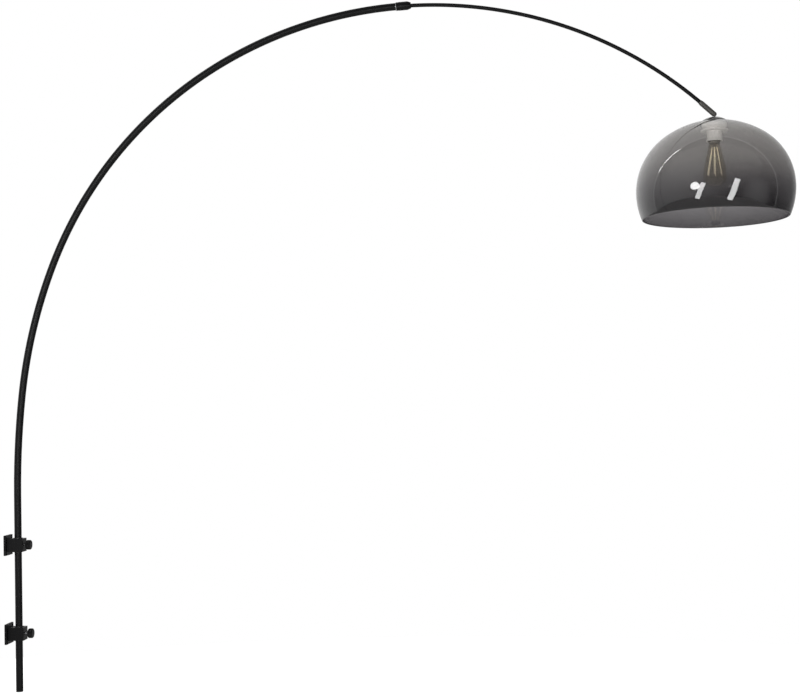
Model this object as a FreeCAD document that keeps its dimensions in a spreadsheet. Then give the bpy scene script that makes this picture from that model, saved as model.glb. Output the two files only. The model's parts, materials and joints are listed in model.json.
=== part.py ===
import FreeCAD, Part
import math
import os
import Sketcher

# Wall-mounted bow lamp. X points away from the wall, Z up, and the origin is the centre of the
# upper wall plate's back face. Every length is in millimetres and every angle in degrees.

os.makedirs("parts", exist_ok=True)
doc = FreeCAD.newDocument("bow_lamp")
sheet = doc.addObject("Spreadsheet::Sheet", "Sizes")

DRIVING = {
    # wall brackets
    "bracket_spacing": 220.0,
    "plate_side": 50.0,
    "plate_thickness": 5.0,
    "plate_corner": 1.5,
    "wall_hole_pitch": 39.0,
    "wall_hole_diameter": 4.5,
    "wall_hole_sink": 8.8,
    "axis_offset": 28.0,
    "block_width": 32.0,
    "block_height": 32.5,
    "block_front": 44.0,
    "block_neck_length": 14.0,
    "block_neck_inset": 1.2,
    "block_chamfer": 0.8,
    "block_screw_pitch": 22.0,
    "block_screw_diameter": 4.0,
    "block_screw_length": 12.0,
    "block_screw_head": 7.6,
    "block_screw_socket": 2.8,
    # clamp screw
    "liner_wall": 0.9,
    "liner_flange_thickness": 1.3,
    "liner_flange_width": 1.6,
    "liner_split": 1.0,
    "pad_diameter": 8.0,
    "pad_thickness": 1.5,
    "screw_travel": 1.0,
    "stud_diameter": 6.0,
    "knob_diameter": 24.0,
    "knob_thickness": 12.6,
    "upper_knob_gap": 4.2,
    "lower_knob_gap": 7.0,
    "knob_edge": 2.0,
    "knob_boss_diameter": 14.4,
    "knob_boss_height": 1.0,
    "knob_socket_depth": 9.0,
    # bow
    "tube_diameter": 17.5,
    "tube_wall": 1.25,
    "pole_below_origin": 362.8,
    "pole_straight_top": 124.1,
    "bend_a_radius": 2189.0,
    "bend_a_angle": 6.51,
    "bend_b_radius": 1257.0,
    "bend_b_angle": 22.0,
    "bend_c_radius": 981.6,
    "bend_c_angle": 59.15,
    "reach_radius": 1016.4,
    "bow_end_angle": 86.25,
    "spigot_wall": 1.5,
    "spigot_half_length": 45.0,
    "grub_diameter": 4.0,
    "grub_length": 4.0,
    "grub_from_joint": 20.0,
    "grub_socket": 2.0,
    "grub_socket_depth": 2.0,
    "plug_head": 2.5,
    "plug_depth": 14.0,
    "cable_outlet": 7.0,
    # telescoping lock at the crown
    "ferrule_spigot": 14.0,
    "ferrule_ring": 1.6,
    "ferrule_ring_diameter": 19.6,
    "ferrule_thread": 15.6,
    "ferrule_nose": 12.0,
    "ferrule_bore": 10.4,
    "ferrule_lip": 0.6,
    "collar_diameter": 20.5,
    "collar_length": 35.5,
    "collar_cone_length": 8.5,
    "collar_nose_diameter": 14.6,
    "collar_nose_bore": 11.6,
    "collar_rim": 2.0,
    "collar_groove": 2.0,
    "collar_groove_depth": 0.45,
    "collet_length": 15.0,
    "collet_wall": 1.9,
    "collet_slot": 1.2,
    "collet_cone": 1.1,
    "collet_setback": 1.2,
    # reach tube and its knuckle
    "reach_tube_diameter": 9.2,
    "reach_tube_wall": 1.0,
    "reach_inner_angle": 82.7,
    "bush_length": 20.0,
    "sleeve_start_angle": 131.44,
    "sleeve_axis_angle": 132.1,
    "sleeve_diameter": 12.5,
    "sleeve_mouth_diameter": 10.8,
    "sleeve_taper_length": 7.0,
    "sleeve_to_pivot": 46.0,
    "sleeve_tube_depth": 24.0,
    "ball_diameter": 9.2,
    "neck_diameter": 5.0,
    "wire_bore": 3.0,
    "swing_out": 15.0,
    "swing_in": 40.0,
    # shade and what carries it, heights below the pivot
    "cap_top": 7.0,
    "cap_diameter": 70.0,
    "cap_wall": 2.0,
    "shoulder_diameter": 11.0,
    "shoulder_thickness": 2.0,
    "stem_diameter": 8.0,
    "stem_length": 34.0,
    "shade_top": 17.3,
    "shade_radius": 190.0,
    "shade_dome_height": 167.9,
    "shade_shoulder_radius": 158.0,
    "shade_skirt_height": 67.0,
    "shade_rim_radius": 176.8,
    "shade_wall": 2.5,
    "carrier_diameter": 61.0,
    "carrier_wall": 2.4,
    "carrier_height": 16.0,
    "carrier_belly": 5.3,
    "carrier_sweep": 25.6,
    "nut_across_flats": 13.0,
    "nut_thickness": 5.0,
    "ring_diameter": 69.0,
    "ring_thickness": 3.0,
    "ring_edge_radius": 1.8,
    "holder_diameter": 38.0,
    "holder_wall": 2.0,
    "holder_length": 28.0,
    "holder_lip": 1.0,
    "core_thickness": 6.0,
    "contact_width": 6.0,
    "contact_thickness": 0.6,
    "contact_rise": 3.0,
    "thread_liner_diameter": 29.0,
    "thread_liner_wall": 0.5,
    # bulb
    "bulb_cap_diameter": 26.4,
    "bulb_cap_length": 20.0,
    "bulb_cap_wall": 0.5,
    "bulb_tip_height": 2.6,
    "bulb_tip_diameter": 9.0,
    "bulb_radius": 28.6,
    "bulb_taper": 13.5,
    "bulb_flank_radius": 120.0,
    "bulb_waist_to_end": 23.0,
    "bulb_neck_depth": 5.75,
    "bulb_shoulder_radius": 18.0,
    "bulb_glass_length": 105.0,
    "bulb_glass_wall": 1.0,
    "mount_radius": 7.5,
    "mount_length": 7.0,
    "filament_count": 6,
    "filament_diameter": 1.8,
    "filament_top": 2.0,
    "filament_length": 69.0,
    "filament_top_circle": 6.5,
    "filament_lean": 10.5,
    "wire_diameter": 0.7,
    # fits, on the radius unless a word says otherwise
    "running_fit": 0.05,
    "tube_fit": 0.1,
    "loose_fit": 0.2,
    "end_gap": 0.3,
}


class Size:
    """A number together with the expression that binds it to the sheet."""

    def __init__(self, value, text):
        self.value = value
        self.text = text

    def join(self, other, sign, value, flip=False):
        text = other.text if isinstance(other, Size) else repr(float(other))
        pair = (text, self.text) if flip else (self.text, text)
        return Size(value, "(%s %s %s)" % (pair[0], sign, pair[1]))

    def __add__(self, other):
        return self.join(other, "+", self.value + number(other))

    def __radd__(self, other):
        return self.join(other, "+", number(other) + self.value, True)

    def __sub__(self, other):
        return self.join(other, "-", self.value - number(other))

    def __rsub__(self, other):
        return self.join(other, "-", number(other) - self.value, True)

    def __mul__(self, other):
        return self.join(other, "*", self.value * number(other))

    def __rmul__(self, other):
        return self.join(other, "*", number(other) * self.value, True)

    def __truediv__(self, other):
        return self.join(other, "/", self.value / number(other))

    def __neg__(self):
        return 0.0 - self


def number(size):
    return size.value if isinstance(size, Size) else float(size)


def sine(angle):
    return Size(math.sin(math.radians(angle.value)), "sin(%s)" % angle.text)


def cosine(angle):
    return Size(math.cos(math.radians(angle.value)), "cos(%s)" % angle.text)


def root(size):
    return Size(math.sqrt(size.value), "sqrt(%s)" % size.text)


sizes = {}
for row, (alias, value) in enumerate(DRIVING.items(), start=1):
    sheet.set("A%d" % row, alias.replace("_", " "))
    sheet.set("B%d" % row, repr(value))
    sheet.setAlias("B%d" % row, alias)
    sizes[alias] = Size(float(value), "Sizes.%s" % alias)
doc.recompute()
d = sizes

HALF_TURN = 180.0
FULL_TURN = 360.0
QUARTER_TURN = 90.0
HEXAGON_CORNER = 2 / math.sqrt(3)
FILAMENT_TURN = 15.0
AXIS_Y = FreeCAD.Vector(0, 1, 0)
AXIS_Z = FreeCAD.Vector(0, 0, 1)
nodes = []


# ---------------------------------------------------------------- sketches and features

def bind(item, path, size):
    """Set a property and tie it to the sheet when the size comes from there."""
    if isinstance(size, Size):
        item.setExpression(path, size.text)


def new_body(label):
    body = doc.addObject("PartDesign::Body", label)
    body.Label = label
    nodes.append(body)
    return body


def new_sketch(body, name, role, shift=(0, 0, 0), tilt=None):
    sketch = body.newObject("Sketcher::SketchObject", body.Name + "_" + name)
    plane = [item for item in body.Origin.OriginFeatures if item.Role == role][0]
    sketch.AttachmentSupport = [(plane, "")]
    sketch.MapMode = "FlatFace"
    turn = FreeCAD.Rotation(AXIS_Y, number(tilt) if tilt is not None else 0.0)
    place_at = FreeCAD.Vector(*[number(value) for value in shift])
    sketch.AttachmentOffset = FreeCAD.Placement(place_at, turn)
    for axis, value in zip("xyz", shift):
        bind(sketch, ".AttachmentOffset.Base." + axis, value)
    if tilt is not None:
        bind(sketch, ".AttachmentOffset.Rotation.Angle", tilt)
    return sketch


def constrain(sketch, kind, refs, size):
    index = sketch.addConstraint(Sketcher.Constraint(kind, *refs, number(size)))
    bind(sketch, "Constraints[%d]" % index, size)


def pin_point(sketch, edge, end, x, y):
    """Hold a point at x, y from the sketch's origin."""
    for kind, size, axis in (("DistanceX", x, -2), ("DistanceY", y, -1)):
        if isinstance(size, Size):
            constrain(sketch, kind, (-1, 1, edge, end), size)
        else:
            sketch.addConstraint(Sketcher.Constraint("PointOnObject", edge, end, axis))


def circle(sketch, diameter, x=0, y=0):
    centre = FreeCAD.Vector(number(x), number(y), 0)
    edge = sketch.addGeometry(Part.Circle(centre, AXIS_Z, number(diameter) / 2), False)
    pin_point(sketch, edge, 3, x, y)
    constrain(sketch, "Diameter", (edge,), diameter)


def arc_between(start, end, radius):
    """Arc from start to end; a positive radius turns left on the way."""
    chord = end - start
    half = chord.Length / 2
    rise = math.sqrt(radius * radius - half * half)
    left = FreeCAD.Vector(-chord.y, chord.x, 0).normalize()
    side = 1 if radius > 0 else -1
    centre = start + chord * 0.5 + left * (rise * side)
    middle = centre - left * (abs(radius) * side)
    return Part.Arc(start, middle, end)


def outline(sketch, corners):
    """Closed profile. A corner is x, y and, where an arc leaves it, the arc's radius."""
    spots = [FreeCAD.Vector(number(corner[0]), number(corner[1]), 0) for corner in corners]
    ends = []
    for index, corner in enumerate(corners):
        start = spots[index]
        end = spots[(index + 1) % len(spots)]
        if len(corner) == 3:
            edge = sketch.addGeometry(arc_between(start, end, number(corner[2])), False)
            radius = corner[2] if number(corner[2]) > 0 else -corner[2]
            constrain(sketch, "Radius", (edge,), radius)
        else:
            edge = sketch.addGeometry(Part.LineSegment(start, end), False)
        flipped = sketch.getPoint(edge, 1).distanceToPoint(start) > 1e-6
        ends.append((edge, 2 if flipped else 1, 1 if flipped else 2))
    for index, (edge, first, last) in enumerate(ends):
        following = ends[(index + 1) % len(ends)]
        sketch.addConstraint(Sketcher.Constraint("Coincident", edge, last, following[0], following[1]))
        pin_point(sketch, edge, first, corners[index][0], corners[index][1])


def pad(body, sketch, length, reverse=False, middle=False):
    feature = body.newObject("PartDesign::Pad", body.Name + "_pad")
    feature.Profile = sketch
    feature.Length = number(length)
    bind(feature, "Length", length)
    feature.Reversed = reverse
    feature.Midplane = middle
    return feature


def pocket(body, sketch, length=None, reverse=False, middle=False):
    feature = body.newObject("PartDesign::Pocket", body.Name + "_pocket")
    feature.Profile = sketch
    feature.Reversed = reverse
    feature.Midplane = middle
    if length is None:
        feature.Type = "ThroughAll"
    else:
        feature.Length = number(length)
        bind(feature, "Length", length)
    return feature


def turned(body, corners):
    """Revolve a profile in the XZ plane about the body's own Z axis."""
    sketch = new_sketch(body, "section", "XZ_Plane")
    outline(sketch, corners)
    feature = body.newObject("PartDesign::Revolution", body.Name + "_turn")
    feature.Profile = sketch
    feature.ReferenceAxis = (sketch, ["V_Axis"])
    feature.Angle = FULL_TURN
    return feature


def bent_tube(body, name, outer, inner, radius, sweep, shift=(0, 0, 0), tilt=None):
    """One bend of round tube. It starts at shift, along Z turned by tilt, and bends to +X."""
    sketch = new_sketch(body, name, "XY_Plane", shift, tilt)
    circle(sketch, outer)
    circle(sketch, inner)
    line = Part.LineSegment(FreeCAD.Vector(number(radius), 0, 0), FreeCAD.Vector(number(radius), 10, 0))
    edge = sketch.addGeometry(line, True)
    pin_point(sketch, edge, 1, radius, 0)
    sketch.addConstraint(Sketcher.Constraint("Vertical", edge))
    constrain(sketch, "DistanceY", (edge, 1, edge, 2), 10)
    feature = body.newObject("PartDesign::Revolution", body.Name + "_" + name + "_bend")
    feature.Profile = sketch
    feature.ReferenceAxis = (sketch, ["Axis0"])
    feature.Angle = number(sweep)
    bind(feature, "Angle", sweep)
    return feature


def place(body, x=0, z=0, tilt=0, y=0):
    """Put a body's origin at x, y, z and turn its Z axis towards +X by tilt."""
    turn = FreeCAD.Rotation(AXIS_Y, number(tilt))
    body.Placement = FreeCAD.Placement(FreeCAD.Vector(number(x), number(y), number(z)), turn)
    for axis, value in (("x", x), ("y", y), ("z", z)):
        bind(body, ".Placement.Base." + axis, value)
    bind(body, ".Placement.Rotation.Angle", tilt)


def angle_of(arc_length, radius):
    return arc_length * (HALF_TURN / math.pi) / radius


def dome_crown(half_width, height, shoulder):
    """Radius of the crown arc that meets a shoulder arc smoothly in a dome's profile."""
    spread = half_width * half_width - 2 * half_width * shoulder + height * height
    return spread / (2 * (height - shoulder))


# ---------------------------------------------------------------- places shared by the pieces

tube_bore = d["tube_diameter"] - 2 * d["tube_wall"]
liner_bore = d["tube_diameter"] + 2 * d["running_fit"]
liner_outer = liner_bore + 2 * d["liner_wall"]
block_bore = liner_outer + 2 * d["running_fit"]
stud_hole = d["stud_diameter"] + 2 * d["running_fit"]
pad_back = d["axis_offset"] + block_bore / 2 + d["tube_fit"]
pad_pocket_end = pad_back + d["pad_thickness"] + d["screw_travel"] + d["end_gap"]
stud_start = pad_back + d["pad_thickness"] + d["running_fit"]

joint_a_x = d["axis_offset"] + d["bend_a_radius"] * (1 - cosine(d["bend_a_angle"]))
joint_a_z = d["pole_straight_top"] + d["bend_a_radius"] * sine(d["bend_a_angle"])
joint_b_x = joint_a_x + d["bend_b_radius"] * (cosine(d["bend_a_angle"]) - cosine(d["bend_b_angle"]))
joint_b_z = joint_a_z + d["bend_b_radius"] * (sine(d["bend_b_angle"]) - sine(d["bend_a_angle"]))
joint_c_x = joint_b_x + d["bend_c_radius"] * (cosine(d["bend_b_angle"]) - cosine(d["bend_c_angle"]))
joint_c_z = joint_b_z + d["bend_c_radius"] * (sine(d["bend_c_angle"]) - sine(d["bend_b_angle"]))
centre_x = joint_c_x + d["reach_radius"] * cosine(d["bend_c_angle"])
centre_z = joint_c_z - d["reach_radius"] * sine(d["bend_c_angle"])


def on_reach_arc(angle):
    """Point of the last bend's centreline where its direction leans by this angle."""
    return (centre_x - d["reach_radius"] * cosine(angle), centre_z + d["reach_radius"] * sine(angle))


bow_end_x, bow_end_z = on_reach_arc(d["bow_end_angle"])
sleeve_x, sleeve_z = on_reach_arc(d["sleeve_start_angle"])
pivot_x = sleeve_x + d["sleeve_to_pivot"] * sine(d["sleeve_axis_angle"])
pivot_z = sleeve_z + d["sleeve_to_pivot"] * cosine(d["sleeve_axis_angle"])
stem_angle = HALF_TURN - d["sleeve_axis_angle"]

crown_radius = dome_crown(d["shade_radius"], d["shade_dome_height"], d["shade_shoulder_radius"])
waist_z = -(d["shade_top"] + d["shade_dome_height"])
crown_centre = -(d["shade_top"] + crown_radius)


def dome_drop(radius, surface):
    """Height of the shade's crown surface of this radius, at a distance from the axis."""
    return crown_centre + root(surface * surface - radius * radius)


carrier_top = dome_drop(d["carrier_diameter"] / 2, crown_radius - d["shade_wall"]) - d["running_fit"]
carrier_floor = carrier_top - d["carrier_height"]
holder_top = carrier_floor
holder_end = holder_top - d["holder_length"]
core_top = holder_top - d["holder_wall"] - d["running_fit"]
core_floor = core_top - d["core_thickness"]
bulb_tip_z = core_floor - d["contact_rise"]
bulb_cap_top = bulb_tip_z - d["bulb_tip_height"]
bulb_cap_end = bulb_cap_top - d["bulb_cap_length"]
bulb_end = bulb_cap_end - d["bulb_glass_length"]


# ---------------------------------------------------------------- wall brackets

def square(sketch, width, height):
    x, y = width / 2, height / 2
    outline(sketch, [(-x, -y), (x, -y), (x, y), (-x, y)])


def wall_plate(name, level):
    body = new_body(name + "_wall_plate")
    sketch = new_sketch(body, "square", "YZ_Plane")
    square(sketch, d["plate_side"], d["plate_side"])
    slab = pad(body, sketch, d["plate_thickness"])
    doc.recompute()
    corners = ["Edge%d" % (index + 1) for index, edge in enumerate(body.Shape.Edges)
               if abs(edge.BoundBox.XLength - number(d["plate_thickness"])) < 1e-6]
    rounded = body.newObject("PartDesign::Fillet", body.Name + "_corners")
    rounded.Base = (slab, corners)
    rounded.Radius = number(d["plate_corner"])
    bind(rounded, "Radius", d["plate_corner"])
    doc.recompute()
    half = d["wall_hole_pitch"] / 2
    countersunk(body, "wall_holes", d["wall_hole_diameter"], d["wall_hole_sink"], True,
                [(-half, -half), (half, -half), (half, half), (-half, half)])
    side = d["block_screw_pitch"] / 2
    screw_hole = d["block_screw_diameter"] + 2 * d["tube_fit"]
    countersunk(body, "block_holes", screw_hole, d["block_screw_head"] + 2 * d["tube_fit"], False,
                [(-side, 0), (side, 0)])
    place(body, 0, level)


def countersunk(body, name, diameter, sink, from_front, spots):
    """Countersunk through holes, opened from the plate's front or from its back."""
    shift = (0, 0, d["plate_thickness"]) if from_front else (0, 0, 0)
    sketch = new_sketch(body, name, "YZ_Plane", shift)
    for x, y in spots:
        circle(sketch, diameter, x, y)
    doc.recompute()
    hole = body.newObject("PartDesign::Hole", body.Name + "_" + name + "_hole")
    hole.Profile = sketch
    hole.Reversed = not from_front
    hole.ThreadType = "None"
    hole.Diameter = number(diameter)
    hole.DepthType = "ThroughAll"
    hole.HoleCutType = "Countersink"
    hole.HoleCutCustomValues = True
    hole.HoleCutDiameter = number(sink)
    hole.HoleCutCountersinkAngle = 90
    bind(hole, "Diameter", diameter)
    bind(hole, "HoleCutDiameter", sink)
    body.Tip = hole
    doc.recompute()


def clamp_block(name, level):
    body = new_body(name + "_clamp_block")
    head = new_sketch(body, "head", "XY_Plane", (0, 0, -d["block_height"] / 2))
    y = d["block_width"] / 2
    neck_y = y - d["block_neck_inset"]
    back = d["plate_thickness"]
    step = back + d["block_neck_length"]
    front = d["block_front"]
    bevel = d["block_chamfer"]
    outline(head, [(back, -neck_y), (step, -neck_y), (step, -y), (front - bevel, -y),
                   (front, -y + bevel), (front, y - bevel), (front - bevel, y), (step, y),
                   (step, neck_y), (back, neck_y)])
    pad(body, head, d["block_height"])
    doc.recompute()
    bore = new_sketch(body, "pole_bore", "XY_Plane", (0, 0, d["block_height"] / 2))
    circle(bore, block_bore, d["axis_offset"], 0)
    pocket(body, bore)
    doc.recompute()
    thread = new_sketch(body, "stud_hole", "YZ_Plane", (0, 0, d["block_front"]))
    circle(thread, stud_hole)
    pocket(body, thread, d["block_front"] - d["axis_offset"])
    doc.recompute()
    chamber = new_sketch(body, "pad_pocket", "YZ_Plane", (0, 0, pad_pocket_end))
    circle(chamber, d["pad_diameter"] + 2 * d["loose_fit"])
    pocket(body, chamber, pad_pocket_end - d["axis_offset"])
    doc.recompute()
    side = d["block_screw_pitch"] / 2
    taps = new_sketch(body, "screw_holes", "YZ_Plane", (0, 0, d["plate_thickness"]))
    for across in (-side, side):
        circle(taps, d["block_screw_diameter"] + 2 * d["running_fit"], across, 0)
    pocket(body, taps, d["block_screw_length"] + d["end_gap"] - d["plate_thickness"], True)
    place(body, 0, level)


def block_screws(name, level):
    """Two countersunk screws, driven from behind the plate into the block."""
    screws = []
    for side in (-1, 1):
        tag = name + ("_near_" if side < 0 else "_far_")
        head_radius = d["block_screw_head"] / 2
        shank_radius = d["block_screw_diameter"] / 2
        sink = head_radius - shank_radius
        head = doc.addObject("Part::Cone", tag + "head")
        bind(head, "Radius1", head_radius)
        bind(head, "Radius2", shank_radius)
        bind(head, "Height", sink)
        shank = doc.addObject("Part::Cylinder", tag + "shank")
        bind(shank, "Radius", shank_radius)
        bind(shank, "Height", d["block_screw_length"])
        socket = doc.addObject("Part::Prism", tag + "socket")
        socket.Polygon = 6
        bind(socket, "Circumradius", d["block_screw_socket"] / 2)
        bind(socket, "Height", sink)
        solid = doc.addObject("Part::Fuse", tag + "solid")
        solid.Base = head
        solid.Tool = shank
        screw = doc.addObject("Part::Cut", tag + "screw")
        screw.Base = solid
        screw.Tool = socket
        screw.Placement.Rotation = FreeCAD.Rotation(AXIS_Y, 90)
        bind(screw, ".Placement.Base.y", side * d["block_screw_pitch"] / 2)
        bind(screw, ".Placement.Base.x", d["running_fit"])
        screws.append(screw)
    group = doc.addObject("Part::Compound", name + "_block_screws")
    group.Label = name + "_block_screws"
    group.Links = screws
    bind(group, ".Placement.Base.z", level)
    nodes.append(group)


def clamp_liner(name, level):
    """Flanged bush round the pole, split on the wall side so that it snaps in."""
    body = new_body(name + "_clamp_liner")
    inner = liner_bore / 2
    outer = liner_outer / 2
    rim = outer + d["liner_flange_width"]
    seat = d["block_height"] / 2 + d["running_fit"]
    end = seat + d["liner_flange_thickness"]
    turned(body, [(inner, -end), (rim, -end), (rim, -seat), (outer, -seat),
                  (outer, seat), (rim, seat), (rim, end), (inner, end)])
    doc.recompute()
    split = new_sketch(body, "split", "YZ_Plane")
    square(split, d["liner_split"], 2 * end + 1)
    pocket(body, split, rim + 1, False)
    place(body, d["axis_offset"], level)


def pressure_pad(name, level):
    """Brass pad, hollowed to the liner's curve."""
    body = new_body(name + "_pressure_pad")
    disc = new_sketch(body, "disc", "YZ_Plane", (0, 0, pad_back))
    circle(disc, d["pad_diameter"])
    pad(body, disc, d["pad_thickness"])
    doc.recompute()
    hollow = new_sketch(body, "hollow", "XY_Plane", (0, 0, d["pad_diameter"]))
    circle(hollow, block_bore + 4 * d["tube_fit"], d["axis_offset"], 0)
    pocket(body, hollow)
    place(body, 0, level)


def clamp_stud(name, level, knob_gap):
    body = new_body(name + "_clamp_stud")
    radius = d["stud_diameter"] / 2
    start = stud_start
    end = d["block_front"] + knob_gap + d["knob_socket_depth"] - d["end_gap"]
    bevel = d["block_chamfer"]
    turned(body, [(0, 0), (radius - bevel, 0), (radius, bevel), (radius, end - start), (0, end - start)])
    place(body, start, level, QUARTER_TURN)


def clamp_knob(name, level, knob_gap):
    """Round thumb knob with rolled edges and a raised boss towards the block."""
    body = new_body(name + "_clamp_knob")
    radius = d["knob_diameter"] / 2
    hole = d["stud_diameter"] / 2 + d["running_fit"]
    edge = d["knob_edge"]
    thick = d["knob_thickness"]
    depth = d["knob_socket_depth"]
    boss = d["knob_boss_diameter"] / 2
    step = d["knob_boss_height"]
    turned(body, [(hole, 0), (boss, 0), (boss, step), (radius - edge, step, edge), (radius, step + edge),
                  (radius, thick - edge, edge), (radius - edge, thick), (0, thick), (0, depth),
                  (hole, depth)])
    place(body, d["block_front"] + knob_gap, level, QUARTER_TURN)


# ---------------------------------------------------------------- bow

def lower_pole():
    body = new_body("lower_pole")
    ring = new_sketch(body, "ring", "XY_Plane", (d["axis_offset"], 0, -d["pole_below_origin"]))
    circle(ring, d["tube_diameter"])
    circle(ring, tube_bore)
    pad(body, ring, d["pole_below_origin"] + d["pole_straight_top"])
    doc.recompute()
    bent_tube(body, "bend_a", d["tube_diameter"], tube_bore, d["bend_a_radius"], d["bend_a_angle"],
              (d["axis_offset"], 0, d["pole_straight_top"]))
    doc.recompute()
    bent_tube(body, "bend_b", d["tube_diameter"], tube_bore, d["bend_b_radius"],
              d["bend_b_angle"] - d["bend_a_angle"], (joint_a_x, 0, joint_a_z), d["bend_a_angle"])
    place(body)


def upper_bow():
    body = new_body("upper_bow")
    bend_c = d["bend_c_angle"] - d["bend_b_angle"]
    bent_tube(body, "bend_c", d["tube_diameter"], tube_bore, d["bend_c_radius"], bend_c)
    doc.recompute()
    end_x = d["bend_c_radius"] * (1 - cosine(bend_c))
    end_z = d["bend_c_radius"] * sine(bend_c)
    bent_tube(body, "bend_d", d["tube_diameter"], tube_bore, d["reach_radius"],
              d["bow_end_angle"] - d["bend_c_angle"], (end_x, 0, end_z), bend_c)
    doc.recompute()
    grub_hole(body, d["tube_diameter"])
    place(body, joint_b_x, joint_b_z, d["bend_b_angle"])


def grub_hole(body, depth):
    """Tapped hole on the hollow side of the bend, a little above the joint."""
    hole = new_sketch(body, "grub_hole", "YZ_Plane")
    circle(hole, d["grub_diameter"] + 2 * d["running_fit"], 0, d["grub_from_joint"])
    pocket(body, hole, depth, True)
    doc.recompute()


def joint_spigot():
    body = new_body("joint_spigot")
    outer = tube_bore - 2 * d["tube_fit"]
    inner = outer - 2 * d["spigot_wall"]
    below = angle_of(d["spigot_half_length"], d["bend_b_radius"])
    start_x = d["bend_b_radius"] * (1 - cosine(below))
    start_z = -d["bend_b_radius"] * sine(below)
    bent_tube(body, "lower_half", outer, inner, d["bend_b_radius"], below, (start_x, 0, start_z), -below)
    doc.recompute()
    bent_tube(body, "upper_half", outer, inner, d["bend_c_radius"],
              angle_of(d["spigot_half_length"], d["bend_c_radius"]))
    doc.recompute()
    grub_hole(body, d["tube_diameter"])
    place(body, joint_b_x, joint_b_z, d["bend_b_angle"])


def joint_grub_screw():
    """Socket set screw through the bow and the spigot, flush with the bow."""
    body = new_body("joint_grub_screw")
    radius = d["grub_diameter"] / 2
    socket = d["grub_socket"] / 2
    length = d["grub_length"]
    socket_floor = length - d["grub_socket_depth"]
    turned(body, [(0, 0), (radius, 0), (radius, length), (socket, length),
                  (socket, socket_floor), (0, socket_floor)])
    inward = d["tube_diameter"] / 2 - length - d["end_gap"]
    along = d["grub_from_joint"]
    x = joint_b_x + inward * cosine(d["bend_b_angle"]) + along * sine(d["bend_b_angle"])
    z = joint_b_z - inward * sine(d["bend_b_angle"]) + along * cosine(d["bend_b_angle"])
    place(body, x, z, d["bend_b_angle"] + 90)


def bottom_end_plug():
    body = new_body("bottom_end_plug")
    rim = d["tube_diameter"] / 2
    stub = tube_bore / 2 - d["tube_fit"]
    hole = d["cable_outlet"] / 2
    head = -d["plug_head"]
    bevel = d["block_chamfer"]
    turned(body, [(hole + bevel, head), (rim - bevel, head), (rim, head + bevel), (rim, 0), (stub, 0),
                  (stub, d["plug_depth"]), (hole, d["plug_depth"]), (hole, head + bevel)])
    place(body, d["axis_offset"], -d["pole_below_origin"])


# ---------------------------------------------------------------- telescoping lock

def collar_ferrule():
    """Ferrule in the bow's mouth: a ring that shows, and a threaded nose for the collar."""
    body = new_body("collar_ferrule")
    bore = d["ferrule_bore"] / 2
    stub = tube_bore / 2 - d["tube_fit"]
    ring = d["ferrule_ring_diameter"] / 2
    nose = d["ferrule_thread"] / 2
    first = d["ferrule_ring"]
    last = first + d["ferrule_nose"]
    cone = nose - bore - d["ferrule_lip"]
    turned(body, [(bore, -d["ferrule_spigot"]), (stub, -d["ferrule_spigot"]), (stub, 0), (ring, 0),
                  (ring, first), (nose, first), (nose, last), (bore + cone, last), (bore, last - cone)])
    place(body, bow_end_x, bow_end_z, d["bow_end_angle"])


collar_start = d["ferrule_ring"] + d["end_gap"]
cone_inside = collar_start + d["collar_length"] - d["collar_cone_length"]
collet_angle = d["bow_end_angle"] + angle_of(cone_inside - d["collet_length"] / 2 - d["collet_setback"],
                                             d["reach_radius"])


def lock_collet():
    """Slotted ring with a cone at each end, which closes on the reach tube."""
    body = new_body("lock_collet")
    inner = d["reach_tube_diameter"] / 2 + d["tube_fit"]
    outer = inner + d["collet_wall"]
    half = d["collet_length"] / 2
    cone = d["collet_cone"]
    turned(body, [(inner, -half), (outer - cone, -half), (outer, -half + cone), (outer, half - cone),
                  (outer - cone, half), (inner, half)])
    doc.recompute()
    slots = new_sketch(body, "slots", "YZ_Plane")
    reach = half - cone
    x = d["collet_slot"] / 2
    outline(slots, [(-x, -reach), (x, -reach), (x, half + 1), (-x, half + 1)])
    cut = pocket(body, slots, outer + 1)
    doc.recompute()
    pattern = body.newObject("PartDesign::PolarPattern", "collet_slots")
    pattern.Originals = [cut]
    pattern.Axis = ([item for item in body.Origin.OriginFeatures if item.Role == "Z_Axis"][0], [""])
    pattern.Angle = FULL_TURN
    pattern.Occurrences = 3
    body.Tip = pattern
    x, z = on_reach_arc(collet_angle)
    place(body, x, z, collet_angle)


def lock_collar():
    """Collar nut: threaded bore, a cone inside and outside at its nose, and a rim at its back."""
    body = new_body("lock_collar")
    outer = d["collar_diameter"] / 2
    bore = d["ferrule_thread"] / 2 + d["running_fit"]
    nose = d["collar_nose_diameter"] / 2
    mouth = d["collar_nose_bore"] / 2
    end = d["collar_length"]
    cone = end - d["collar_cone_length"]
    inner_cone = cone + (bore - mouth)
    rim = d["collar_rim"]
    dip = outer - d["collar_groove_depth"]
    dip_start = rim + d["collar_groove_depth"]
    dip_end = rim + d["collar_groove"]
    turned(body, [(bore, 0), (outer, 0), (outer, rim), (dip, dip_start), (dip, dip_end),
                  (outer, dip_end + d["collar_groove_depth"]), (outer, cone), (nose, end),
                  (mouth, end), (mouth, inner_cone), (bore, cone)])
    x = bow_end_x + collar_start * sine(d["bow_end_angle"])
    z = bow_end_z + collar_start * cosine(d["bow_end_angle"])
    place(body, x, z, d["bow_end_angle"])


# ---------------------------------------------------------------- reach tube and knuckle

tube_into_sleeve = angle_of(d["sleeve_tube_depth"], d["reach_radius"])
reach_outer_angle = d["sleeve_start_angle"] + tube_into_sleeve


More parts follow.
